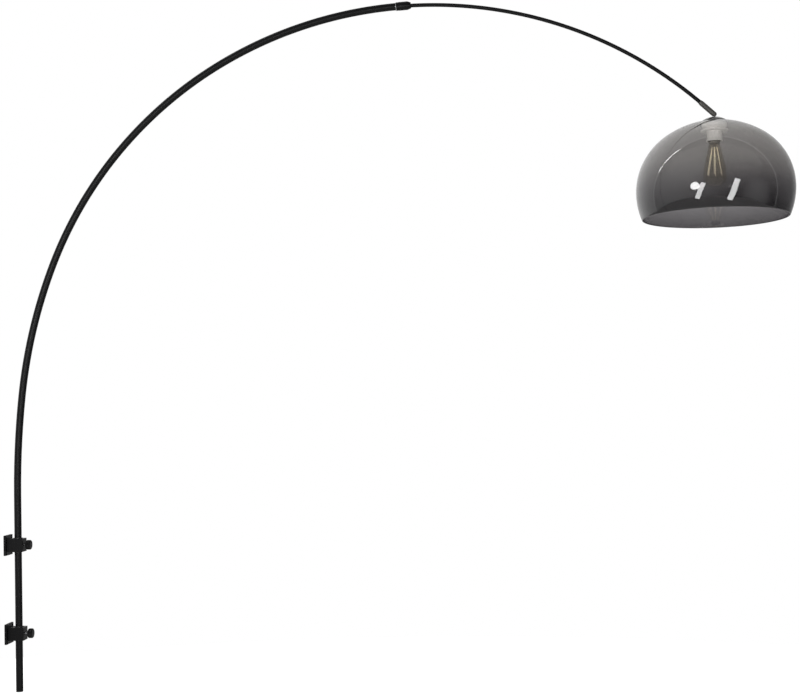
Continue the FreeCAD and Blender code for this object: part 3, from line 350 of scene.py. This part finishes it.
def arc_to(bm, tip, start, end, radius):
    """Extend a profile by an arc from start to end; a positive radius turns left on the way."""
    chord = Vector((end[0] - start[0], end[1] - start[1]))
    half = chord.length / 2
    side = math.copysign(1.0, radius)
    left = Vector((-chord.y, chord.x)).normalized()
    centre = Vector(start[:2]) + chord / 2 + left * math.sqrt(radius * radius - half * half) * side
    degrees = math.degrees(2 * math.asin(half / abs(radius)))
    steps = max(3, min(40, round(degrees / ARC_STEP)))
    return arc_about(bm, tip, centre * MM, -side * degrees, steps)


def turned_bmesh(corners, rounding=0.0, sides=TURNED_SIDES):
    """Turned solid from corners in millimetres: r, z and, where an arc leaves the corner, its radius."""
    bm = bmesh.new()
    tip = first = bm.verts.new((corners[0][0] * MM, 0, corners[0][1] * MM))
    for start, end in zip(corners, corners[1:] + corners[:1]):
        if len(start) == 3:
            tip = arc_to(bm, tip, start, end, start[2])
        elif end is not corners[0]:
            tip = line_to(bm, tip, end[0] * MM, end[1] * MM)
    if corners[0][0] > 0 or corners[-1][0] > 0:
        if (tip.co - first.co).length > 1e-6:
            bm.edges.new((tip, first))
    bmesh.ops.remove_doubles(bm, verts=bm.verts, dist=1e-6)
    if rounding:
        bends = [vert for vert in bm.verts if vert.co.x > 1e-6 and len(vert.link_edges) == 2]
        bmesh.ops.bevel(bm, geom=bends, offset=rounding * MM, offset_type="OFFSET", affect="VERTICES",
                        segments=3, profile=0.5, material=-1)
    turn_profile(bm, sides)
    return bm


def lean_matrix(point, degrees):
    """Take local Z to a direction that leans from up towards +X, at a point."""
    return Matrix.Translation(point) @ Matrix.Rotation(math.radians(degrees), 4, "Y")


def on_reach_arc(lean):
    """Place on the last bend's centre line where the bow leans over by this angle."""
    angle = math.radians(lean)
    return REACH_CENTRE + Vector((-math.cos(angle), 0, math.sin(angle))) * REACH_RADIUS


def bend_tube(bm, edges, centre, degrees):
    """Spin the open end of a tube about a centre in the bow's plane; returns the new open end."""
    steps = max(2, round(degrees / DEGREES_PER_STEP))
    made = bmesh.ops.spin(bm, geom=edges, cent=centre, axis=(0, 1, 0), angle=math.radians(degrees),
                          steps=steps, use_duplicate=False)
    return [item for item in made["geom_last"] if isinstance(item, bmesh.types.BMEdge)]


def tube_start(bm, radius, matrix):
    """The open end of a tube, a circle across the matrix's Z."""
    made = bmesh.ops.create_circle(bm, cap_ends=False, segments=TUBE_SIDES, radius=radius, matrix=matrix)
    return list({edge for vert in made["verts"] for edge in vert.link_edges})


def bend_centres():
    """Centre of each lower bend, worked out along the bow from the pole's straight top."""
    point = Vector((POLE_X, 0, POLE_STRAIGHT_TOP))
    centres = []
    for radius, start, end in BENDS:
        first, last = math.radians(start), math.radians(end)
        centre = point + Vector((math.cos(first), 0, -math.sin(first))) * radius
        point = centre + Vector((-math.cos(last), 0, math.sin(last))) * radius
        centres.append((centre, point))
    return centres


# ------------------------------------------------------------------ bow and reach tube

def make_lower_pole():
    """Straight tube from the bottom plug, then the first two gentle bends."""
    low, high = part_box("lower_pole")
    bm = bmesh.new()
    start = Matrix.Translation((POLE_X, 0, low.z))
    edges = tube_start(bm, TUBE_RADIUS, start)
    straight = bmesh.ops.extrude_edge_only(bm, edges=edges)["geom"]
    rise = POLE_STRAIGHT_TOP - low.z
    verts = [item for item in straight if isinstance(item, bmesh.types.BMVert)]
    bmesh.ops.translate(bm, verts=verts, vec=(0, 0, rise))
    edges = [item for item in straight if isinstance(item, bmesh.types.BMEdge)
             and all(vert in verts for vert in item.verts)]
    for (radius, first, last), (centre, _) in zip(BENDS[:2], bend_centres()):
        edges = bend_tube(bm, edges, centre, last - first)
    bmesh.ops.holes_fill(bm, edges=bm.edges, sides=0)
    return finish_piece(bm, "lower_pole_tube", "satin_black", "arm", ["lower_pole"])


def make_upper_bow():
    """The main bend, and the last bend that the reach tube slides in."""
    radius, first, last = BENDS[2]
    centre = bend_centres()[2][0]
    start = bend_centres()[1][1]
    bm = bmesh.new()
    edges = tube_start(bm, TUBE_RADIUS, lean_matrix(start, first))
    edges = bend_tube(bm, edges, centre, last - first)
    bend_tube(bm, edges, REACH_CENTRE, BOW_END_LEAN - LAST_BEND_FROM)
    bmesh.ops.holes_fill(bm, edges=bm.edges, sides=0)
    return finish_piece(bm, "upper_bow_tube", "satin_black", "arm", ["upper_bow"])


def make_reach_tube():
    """Thin tube on the last bend's own circle, from inside the bow to the sleeve."""
    bm = bmesh.new()
    edges = tube_start(bm, REACH_TUBE_RADIUS, lean_matrix(on_reach_arc(REACH_TUBE_FROM), REACH_TUBE_FROM))
    bend_tube(bm, edges, REACH_CENTRE, REACH_TUBE_TO - REACH_TUBE_FROM)
    bmesh.ops.holes_fill(bm, edges=bm.edges, sides=0)
    return finish_piece(bm, "reach_tube_rod", "satin_black", "reach_arm", ["reach_tube"])


def placed(bm, point, lean=0.0):
    """Move a turned shape so that its axis starts at a point and leans over by this angle."""
    bmesh.ops.transform(bm, matrix=lean_matrix(point, lean), verts=bm.verts)
    return bm


def make_ferrule():
    """The ring shows as a light line between the bow and the collar."""
    bore, spigot, ring, thread = 5.2, 7.4, 9.8, 7.8
    inner_end, ring_top, nose = -14.0, 1.6, 13.6
    bm = turned_bmesh([(bore, inner_end), (spigot, inner_end), (spigot, 0), (ring, 0), (ring, ring_top),
                       (thread, ring_top), (thread, nose), (bore, nose)], 0.25)
    return finish_piece(placed(bm, BOW_END, BOW_END_LEAN), "collar_ferrule_ring", "zinc_steel", "arm",
                        ["collar_ferrule"])


def make_collar():
    """Collar nut with a turned groove near its rim and a conical nose."""
    thread, outside, groove, nose, nose_bore = 7.85, 10.25, 9.8, 7.3, 5.8
    painted_edge_shade, groove_start, groove_end, flare = 1.9, 3.9, 6.2, 0.3
    cone, seat, end = 28.9, 30.95, 37.4
    bm = turned_bmesh([(thread, painted_edge_shade), (outside, painted_edge_shade), (outside, groove_start), (groove, groove_start + flare),
                       (groove, groove_end - flare), (outside, groove_end), (outside, cone), (nose, end),
                       (nose_bore, end), (nose_bore, seat), (thread, cone)], 0.35)
    return finish_piece(placed(bm, BOW_END, BOW_END_LEAN), "lock_collar_nut", "satin_black", "collar",
                        ["lock_collar"])


def make_knob(side):
    """Round thumb knob whose grip is cut into fine straight ridges, about 1.5 mm apart."""
    low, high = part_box(side + "_clamp_knob")
    ridges, valley = 50, 0.97
    bore, boss, grip, edge = 3.05, 7.2, 12.0, 1.6
    boss_height, socket_end = 1.0, 9.0
    thick = (high.x - low.x) / MM
    bm = turned_bmesh([(bore, 0), (boss, 0), (boss, boss_height), (grip - edge, boss_height),
                       (grip, boss_height + edge), (grip, thick - edge), (grip - edge, thick), (0, thick),
                       (0, socket_end), (bore, socket_end)], 0.5, 2 * ridges)
    for vert in bm.verts:
        around = math.hypot(vert.co.x, vert.co.y)
        spoke = round(math.atan2(vert.co.y, vert.co.x) / (math.pi / ridges))
        if around > (grip - 0.1) * MM and spoke % 2:
            vert.co.xy *= valley
    matrix = Matrix.Translation((low.x, (low.y + high.y) / 2, (low.z + high.z) / 2))
    bmesh.ops.transform(bm, matrix=matrix @ Matrix.Rotation(math.pi / 2, 4, "Y"), verts=bm.verts)
    return finish_piece(bm, side + "_knob_grip", "satin_black", side + "_screw", [side + "_clamp_knob"])


# ------------------------------------------------------------------ shade

# Lengths in millimetres, heights from the pivot.
SHADE_RADIUS = 190.0
SHADE_WAIST = -185.2
SHADE_WALL = 2.5
SHOULDER_RADIUS = 158.0
DOME_HEIGHT = 167.9
SKIRT_HEIGHT = 67.0
RIM_RADIUS = 176.8
SHADE_SIDES = 160
SEAT_GAP = 0.05
CROWN_RADIUS = (SHADE_RADIUS ** 2 - 2 * SHADE_RADIUS * SHOULDER_RADIUS + DOME_HEIGHT ** 2) / (
    2 * (DOME_HEIGHT - SHOULDER_RADIUS))
RIM_DRAW = SHADE_RADIUS - RIM_RADIUS
SKIRT_RADIUS = (RIM_DRAW ** 2 + SKIRT_HEIGHT ** 2) / (2 * RIM_DRAW)
CROWN_CENTRE = SHADE_WAIST + DOME_HEIGHT - CROWN_RADIUS


def make_shade():
    """Shell with a round rim: skirt, shoulder and crown arcs outside, and the same arcs inside."""
    skirt_turn = math.degrees(math.asin(SKIRT_HEIGHT / SKIRT_RADIUS))
    crown_x = SHADE_RADIUS - SHOULDER_RADIUS
    meet_turn = math.degrees(math.atan2(SHADE_WAIST - CROWN_CENTRE, crown_x))
    hole_radius = 4.2
    skirt_centre = ((SHADE_RADIUS - SKIRT_RADIUS) * MM, SHADE_WAIST * MM)
    shoulder_centre = (crown_x * MM, SHADE_WAIST * MM)
    crown_centre = (0.0, CROWN_CENTRE * MM)
    inner = CROWN_RADIUS - SHADE_WALL
    crown_turn = 90 - meet_turn - math.degrees(math.asin(hole_radius / CROWN_RADIUS))
    crown_turn_inside = 90 - meet_turn - math.degrees(math.asin(hole_radius / inner))
    bm = bmesh.new()
    start = bm.verts.new((RIM_RADIUS * MM, 0, (SHADE_WAIST - SKIRT_HEIGHT) * MM))
    skirt_steps, shoulder_steps, crown_steps, rim_steps = 16, 32, 20, 6
    tip = arc_about(bm, start, skirt_centre, -skirt_turn, skirt_steps)
    tip = arc_about(bm, tip, shoulder_centre, -meet_turn, shoulder_steps)
    tip = arc_about(bm, tip, crown_centre, -crown_turn, crown_steps)
    tip = line_to(bm, tip, hole_radius * MM, crown_height(hole_radius, inner) * MM)
    tip = arc_about(bm, tip, crown_centre, crown_turn_inside, crown_steps)
    tip = arc_about(bm, tip, shoulder_centre, meet_turn, shoulder_steps)
    tip = arc_about(bm, tip, skirt_centre, skirt_turn, skirt_steps)
    rim_centre = ((start.co.x + tip.co.x) / 2, (start.co.z + tip.co.z) / 2)
    arc_about(bm, tip, rim_centre, -180.0, rim_steps)
    bmesh.ops.remove_doubles(bm, verts=bm.verts, dist=1e-6)
    turn_profile(bm, SHADE_SIDES)
    return finish_piece(placed(bm, PIVOT), "shade_dome", "smoked_acrylic", "shade_unit", ["shade"])


def crown_height(radius, surface):
    """Height of a crown surface with this radius of its own, at a distance from the axis."""
    return CROWN_CENTRE + math.sqrt(surface * surface - radius * radius)


def hung(corners, name, slot, nodes, rounding=0.0, material=None):
    """A turned piece of the shade unit, its heights counted from the pivot."""
    bm = turned_bmesh(corners, rounding)
    return finish_piece(placed(bm, PIVOT), name, slot, "shade_unit", nodes, material)


CARRIER_RADIUS = 30.5
CARRIER_HEIGHT = 16.0
HOLDER_LENGTH = 28.0
BULB_CAP_BELOW_CARRIER = 33.65
BULB_GLASS_LENGTH = 105.0
CARRIER_TOP = crown_height(CARRIER_RADIUS, CROWN_RADIUS - SHADE_WALL) - SEAT_GAP
CARRIER_FLOOR = CARRIER_TOP - CARRIER_HEIGHT
HOLDER_END = CARRIER_FLOOR - HOLDER_LENGTH
BULB_CAP_END = CARRIER_FLOOR - BULB_CAP_BELOW_CARRIER
BULB_END = BULB_CAP_END - BULB_GLASS_LENGTH


def make_cap():
    """Low dome on the crown, with a boss for the stem's shoulder."""
    edge, inner_edge, top, wall = 35.0, 31.0, -7.0, 2.0
    edge_z = crown_height(edge, CROWN_RADIUS) + SEAT_GAP
    inner_z = crown_height(inner_edge, CROWN_RADIUS) + SEAT_GAP
    rise = top - edge_z
    bend = (edge ** 2 + rise ** 2) / (2 * rise)
    inner_rise = top - wall - inner_z
    inner_bend = (inner_edge ** 2 + inner_rise ** 2) / (2 * inner_rise)
    recess, boss, hole = 5.55, 9.55, 4.05
    recess_floor, boss_end = -9.0, -11.0
    rim_z = top - bend + math.sqrt(bend ** 2 - recess ** 2)
    boss_z = top - wall - inner_bend + math.sqrt(inner_bend ** 2 - boss ** 2)
    hung([(hole, boss_end), (boss, boss_end), (boss, boss_z, -inner_bend), (inner_edge, inner_z),
          (edge, edge_z, bend), (recess, rim_z), (recess, recess_floor), (hole, recess_floor)],
         "crown_cap", "smoked_acrylic", ["top_cap"], material="smoked_cap")


def make_carrier():
    """Funnel that draws in from the dome to the lampholder."""
    wide, narrow, wall, hole, sweep = CARRIER_RADIUS, 21.4, 2.4, 4.05, 25.6
    belly = CARRIER_TOP - 5.3
    hung([(hole, CARRIER_TOP), (hole, CARRIER_TOP - wall), (wide - wall, CARRIER_TOP - wall),
          (wide - wall, belly, -sweep), (narrow - wall, CARRIER_FLOOR), (narrow, CARRIER_FLOOR, sweep),
          (wide, belly), (wide, CARRIER_TOP)], "carrier_bowl", "white_plastic", ["shade_carrier"], 0.2)


def make_holder():
    """Lampholder cup with its rolled lip, and the wide ring round its head."""
    outer, wall, hole, lip = 19.0, 2.0, 3.0, 1.0
    hung([(hole, CARRIER_FLOOR), (hole, CARRIER_FLOOR - wall), (outer - wall, CARRIER_FLOOR - wall),
          (outer - wall, HOLDER_END), (outer, HOLDER_END), (outer + lip, HOLDER_END + lip),
          (outer + lip, HOLDER_END + 2 * lip), (outer, HOLDER_END + 3 * lip), (outer, CARRIER_FLOOR)],
         "holder_cup", "white_plastic", ["lampholder_shell"], 0.25)
    top, ring_edge, ring_thickness, edge_radius = CARRIER_FLOOR - SEAT_GAP, 33.0, 3.0, 1.8
    ring_bore = outer + SEAT_GAP
    hung([(ring_bore, top - ring_thickness), (ring_edge, top - ring_thickness, edge_radius),
          (ring_edge, top), (ring_bore, top)], "holder_collar_ring", "white_plastic", ["holder_ring"])


def bulb_profile(inset):
    """Half profile of the bulb from its end up to its neck, moved inwards by inset."""
    wide, shoulder, flank, waist_to_end, taper = 28.6, 18.0, 120.0, 23.0, math.radians(13.5)
    end_radius = (wide ** 2 - 2 * wide * shoulder + waist_to_end ** 2) / (2 * (waist_to_end - shoulder))
    share = (wide - shoulder) / (end_radius - shoulder)
    fall = (end_radius - waist_to_end) / (end_radius - shoulder)
    waist = BULB_END + waist_to_end
    end_bend, flank_bend = end_radius - inset, flank - inset
    flank_x = wide - flank + flank_bend * math.cos(taper)
    flank_z = waist + flank_bend * math.sin(taper)
    neck_z = BULB_CAP_END + 5.75
    neck_x = flank_x - (neck_z - flank_z) * math.tan(taper)
    return [(0, BULB_END + inset, end_bend), (share * end_bend, BULB_END + end_radius - fall * end_bend,
            shoulder - inset), (wide - inset, waist, flank_bend), (flank_x, flank_z), (neck_x, neck_z)]


def make_bulb():
    """Clear tapered bulb of even wall, open at its neck."""
    glass_wall = 1.0
    outside, inside = bulb_profile(0.0), bulb_profile(glass_wall)
    back = [inside[4], inside[3] + (-inside[2][2],), inside[2][:2] + (-inside[1][2],),
            inside[1][:2] + (-inside[0][2],), inside[0][:2]]
    hung(outside + back, "bulb_envelope", "clear_glass", ["bulb_glass"])


def make_filaments():
    """Six coated rods with round ends, leaning outwards as they go down."""
    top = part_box("bulb_filaments")[1].z
    count, radius, length, circle, lean, first = 6, 1.2, 69.0, 6.5, 10.5, 15.0
    bm = bmesh.new()
    for index in range(count):
        rod = turned_bmesh([(0, 0, radius), (radius, radius), (radius, length - radius, radius), (0, length)],
                           sides=16)
        turn = Matrix.Rotation(math.radians(first + 360 / count * index), 4, "Z")
        down = Matrix.Rotation(math.radians(180 - lean), 4, "Y")
        start = Matrix.Translation((circle * MM, 0, top - PIVOT.z))
        bmesh.ops.transform(rod, matrix=Matrix.Translation(PIVOT) @ turn @ start @ down, verts=rod.verts)
        rod_mesh = bpy.data.meshes.new("rod")
        rod.to_mesh(rod_mesh)
        rod.free()
        bm.from_mesh(rod_mesh)
        bpy.data.meshes.remove(rod_mesh)
    finish_piece(bm, "filament_rods", "filament_coat", "shade_unit", ["bulb_filaments"])


make_lower_pole()
make_upper_bow()
make_reach_tube()
make_ferrule()
make_collar()
for side in ("upper", "lower"):
    make_knob(side)
make_shade()
make_cap()
make_carrier()
make_holder()
make_bulb()
make_filaments()

# Every CAD piece that shows as it is gets the finish of its slot.
for item in frame["record"]["subparts"]:
    node = frame["nodes"][item["node"]]
    if not node.hide_render:
        node.data.materials.clear()
        # The end sleeve takes the powder coat with painted sheen.
        finish = "painted_sheen_black" if item["node"] == "tip_sleeve" else item["material_slot"]
        node.data.materials.append(MATERIALS[finish])


# ------------------------------------------------------------------ studio

WHITE = (1.0, 1.0, 1.0, 1.0)

# Levels of the studio as a glossy surface mirrors it.
STUDIO_DARK = 0.03
SWEEP_LIGHT = 1.05
SWEEP_LIGHT_RIGHT = 0.15
SWEEP_SOFT_EDGE = 0.03
SWEEP_EDGE = 1.0
SWEEP_EDGE_WIDTH = 0.05
CEILING_LIGHT = 0.3
CEILING_FROM = 0.3
CEILING_FULL = 0.95

# Middle of a glow, the cosine at which it starts, and its level.
LEFT_GLOW = ((-0.93, -0.35, 0.0), 0.1, 1.0)
RIGHT_GLOW = ((0.77, -0.58, -0.25), 0.9, 0.8)

# Even light from the whole room on matt surfaces.
ROOM_FILL = 0.42

FLOOR_RADIUS = 6.0
FLOOR_HEIGHT = -1.25
FLOOR_GLOW = 0.9


def behind_edge(tree, direction):
    """Above zero where a direction meets the white sweep, whose side edges lean with height."""
    left = maths(tree, "MAXIMUM", maths(tree, "MULTIPLY", direction["X"], -1.0), 0.0)
    right = maths(tree, "MAXIMUM", direction["X"], 0.0)
    left_lean = maths(tree, "MULTIPLY_ADD", direction["Z"], 0.33, -0.33)
    right_lean = maths(tree, "MULTIPLY_ADD", direction["Z"], 0.25, 0.05)
    from_left = maths(tree, "MULTIPLY_ADD", left, left_lean, direction["Y"])
    return maths(tree, "MULTIPLY_ADD", right, right_lean, from_left)


def level_between(tree, value, start, end, level_at_start, level_at_end):
    """A level that runs evenly between two values and stays put outside them."""
    node = add(tree, "ShaderNodeMapRange", {"Value": value, "From Min": start, "From Max": end,
               "To Min": level_at_start, "To Max": level_at_end})
    return node.outputs["Result"]


def soft_glow(tree, direction, glow):
    """A patch of the studio that brightens from nothing at a cosine to full level at its middle."""
    middle, start, level = glow
    facing = add(tree, "ShaderNodeVectorMath", {0: direction, 1: middle}, operation="DOT_PRODUCT")
    return level_between(tree, facing.outputs["Value"], start, 1.0, 0.0, level)


def make_world():
    """White to the camera and through clear parts; a studio that is light behind and dark in front."""
    world = bpy.data.worlds.new("studio")
    bpy.context.scene.world = world
    world.use_nodes = True
    tree = world.node_tree
    tree.nodes.clear()
    rays, seen = seen_directly(tree)
    direction = add(tree, "ShaderNodeTexCoord").outputs["Generated"]
    parts = add(tree, "ShaderNodeSeparateXYZ", {"Vector": direction}).outputs
    sweep = behind_edge(tree, parts)
    level = level_between(tree, parts["X"], -0.6, 0.8, SWEEP_LIGHT, SWEEP_LIGHT_RIGHT)
    back = level_between(tree, sweep, 0.0, SWEEP_SOFT_EDGE, STUDIO_DARK, level)
    strip = level_between(tree, sweep, 0.0, SWEEP_EDGE_WIDTH, SWEEP_EDGE, 0.0)
    edge = maths(tree, "MULTIPLY", strip, maths(tree, "GREATER_THAN", sweep, 0.0))
    above = level_between(tree, parts["Z"], CEILING_FROM, CEILING_FULL, STUDIO_DARK, CEILING_LIGHT)
    lit = maths(tree, "MAXIMUM", back, above)
    for glow in (LEFT_GLOW, RIGHT_GLOW):
        lit = maths(tree, "MAXIMUM", lit, soft_glow(tree, direction, glow))
    mirrored = maths(tree, "ADD", lit, edge)
    glossy = add(tree, "ShaderNodeMix", {0: rays["Is Glossy Ray"], 2: ROOM_FILL, 3: mirrored})
    strength = add(tree, "ShaderNodeMix", {0: seen, 2: glossy.outputs[0], 3: 1.0})
    background = add(tree, "ShaderNodeBackground", {"Color": WHITE, "Strength": strength.outputs[0]})
    add(tree, "ShaderNodeOutputWorld", {"Surface": background.outputs[0]})


def make_floor():
    """Pale floor 0.9 m under the pole's end: white to the camera from above, open from below."""
    bm = bmesh.new()
    bmesh.ops.create_circle(bm, cap_ends=True, segments=96, radius=FLOOR_RADIUS,
                            matrix=Matrix.Translation((1.0, 0, FLOOR_HEIGHT)))
    mesh = bpy.data.meshes.new("floor")
    bm.to_mesh(mesh)
    bm.free()
    material, tree, shader = new_material("pale_floor", Roughness=0.8)
    shader.inputs["Base Color"].default_value = linear("#f2f2f0")
    seen = seen_directly(tree)[1]
    glow = add(tree, "ShaderNodeEmission", {"Color": WHITE, "Strength": FLOOR_GLOW})
    both = add(tree, "ShaderNodeAddShader", {0: shader.outputs[0], 1: glow.outputs[0]})
    mix = add(tree, "ShaderNodeMixShader", {0: seen, 1: shader.outputs[0], 2: both.outputs[0]})
    below = add(tree, "ShaderNodeNewGeometry").outputs["Backfacing"]
    open_floor = add(tree, "ShaderNodeBsdfTransparent")
    top_only = add(tree, "ShaderNodeMixShader", {0: below, 1: mix.outputs[0], 2: open_floor.outputs[0]})
    tree.links.new(top_only.outputs[0], tree.nodes["Material Output"].inputs["Surface"])
    mesh.materials.append(material)
    floor = bpy.data.objects.new("floor", mesh)
    bpy.context.scene.collection.objects.link(floor)


def area_light(name, place, target, width, height, power, roll=0.0):
    """A rectangular lamp that only lights and mirrors, and is never seen itself."""
    lamp = bpy.data.lights.new(name, "AREA")
    lamp.shape = "RECTANGLE"
    lamp.size = width
    lamp.size_y = height
    lamp.energy = power
    piece = bpy.data.objects.new(name, lamp)
    aim = (Vector(target) - Vector(place)).to_track_quat("-Z", "Y").to_matrix().to_4x4()
    piece.matrix_world = Matrix.Translation(place) @ aim @ Matrix.Rotation(math.radians(roll), 4, "Z")
    piece.visible_camera = False
    piece.visible_transmission = False
    bpy.context.scene.collection.objects.link(piece)
    return piece


SHADE_MIDDLE = PIVOT + Vector((0, 0, -0.16))


def seen_from_shade(azimuth, elevation, distance):
    """A place that the shade sees at this azimuth from the camera's side, right being positive."""
    turn, rise = math.radians(azimuth), math.radians(elevation)
    flat = math.cos(rise) * distance
    return SHADE_MIDDLE + Vector((math.sin(turn) * flat, -math.cos(turn) * flat, math.sin(rise) * distance))


# Lamps that the shade mirrors: shape, azimuth, elevation, distance, width, height, watts, roll.
WINDOWS = {
    "window_left": ("RECTANGLE", -31.0, -10.0, 3.0, 0.36, 1.3, 20.0, -25.0),
    "window_left_round": ("ELLIPSE", -37.5, -2.5, 3.0, 0.66, 0.56, 20.0, 0.0),
    "window_right": ("RECTANGLE", 16.0, -10.0, 3.0, 0.42, 1.7, 33.0, -17.0),
    "strip_left": ("RECTANGLE", -95.3, 38.8, 2.88, 0.06, 1.7, 5.0, -15.1),
}

make_world()
make_floor()
for name, (shape, azimuth, elevation, distance, width, height, power, roll) in WINDOWS.items():
    place = seen_from_shade(azimuth, elevation, distance)
    area_light(name, place, SHADE_MIDDLE, width, height, power, roll).data.shape = shape
soft_box = area_light("top_soft", (0.6, -0.6, 3.4), (0.9, 0, 0.6), 2.4, 1.2, 45)
soft_box.visible_glossy = False


# ------------------------------------------------------------------ camera

CAMERA_PLACE = Vector((1179.3, -3229.3, 310.7)) * MM
CAMERA_YAW = -2.632
CAMERA_PITCH = 0.317
CAMERA_ROLL = -0.728
LENS = 59.19
SENSOR_WIDTH = 36.0
SHIFT_X = -0.0232
SHIFT_Y = 0.0766


def make_camera():
    """The photograph's viewpoint: 3.2 m in front of the bow, 0.31 m above the upper bracket."""
    yaw, pitch, roll = (math.radians(a) for a in (CAMERA_YAW, CAMERA_PITCH, CAMERA_ROLL))
    forward = Vector((math.sin(yaw) * math.cos(pitch), math.cos(yaw) * math.cos(pitch), math.sin(pitch)))
    level = Vector((math.cos(yaw), -math.sin(yaw), 0))
    upright = level.cross(forward)
    right = level * math.cos(roll) + upright * math.sin(roll)
    up = upright * math.cos(roll) - level * math.sin(roll)
    camera = bpy.data.cameras.new("camera")
    camera.lens = LENS
    camera.sensor_width = SENSOR_WIDTH
    camera.shift_x = SHIFT_X
    camera.shift_y = SHIFT_Y
    piece = bpy.data.objects.new("camera", camera)
    turn = Matrix((right, up, -forward)).transposed().to_4x4()
    piece.matrix_world = Matrix.Translation(CAMERA_PLACE) @ turn
    bpy.context.scene.collection.objects.link(piece)
    bpy.context.scene.camera = piece


make_camera()
bpy.context.scene.view_settings.view_transform = "Standard"

bpy.context.view_layer.update()
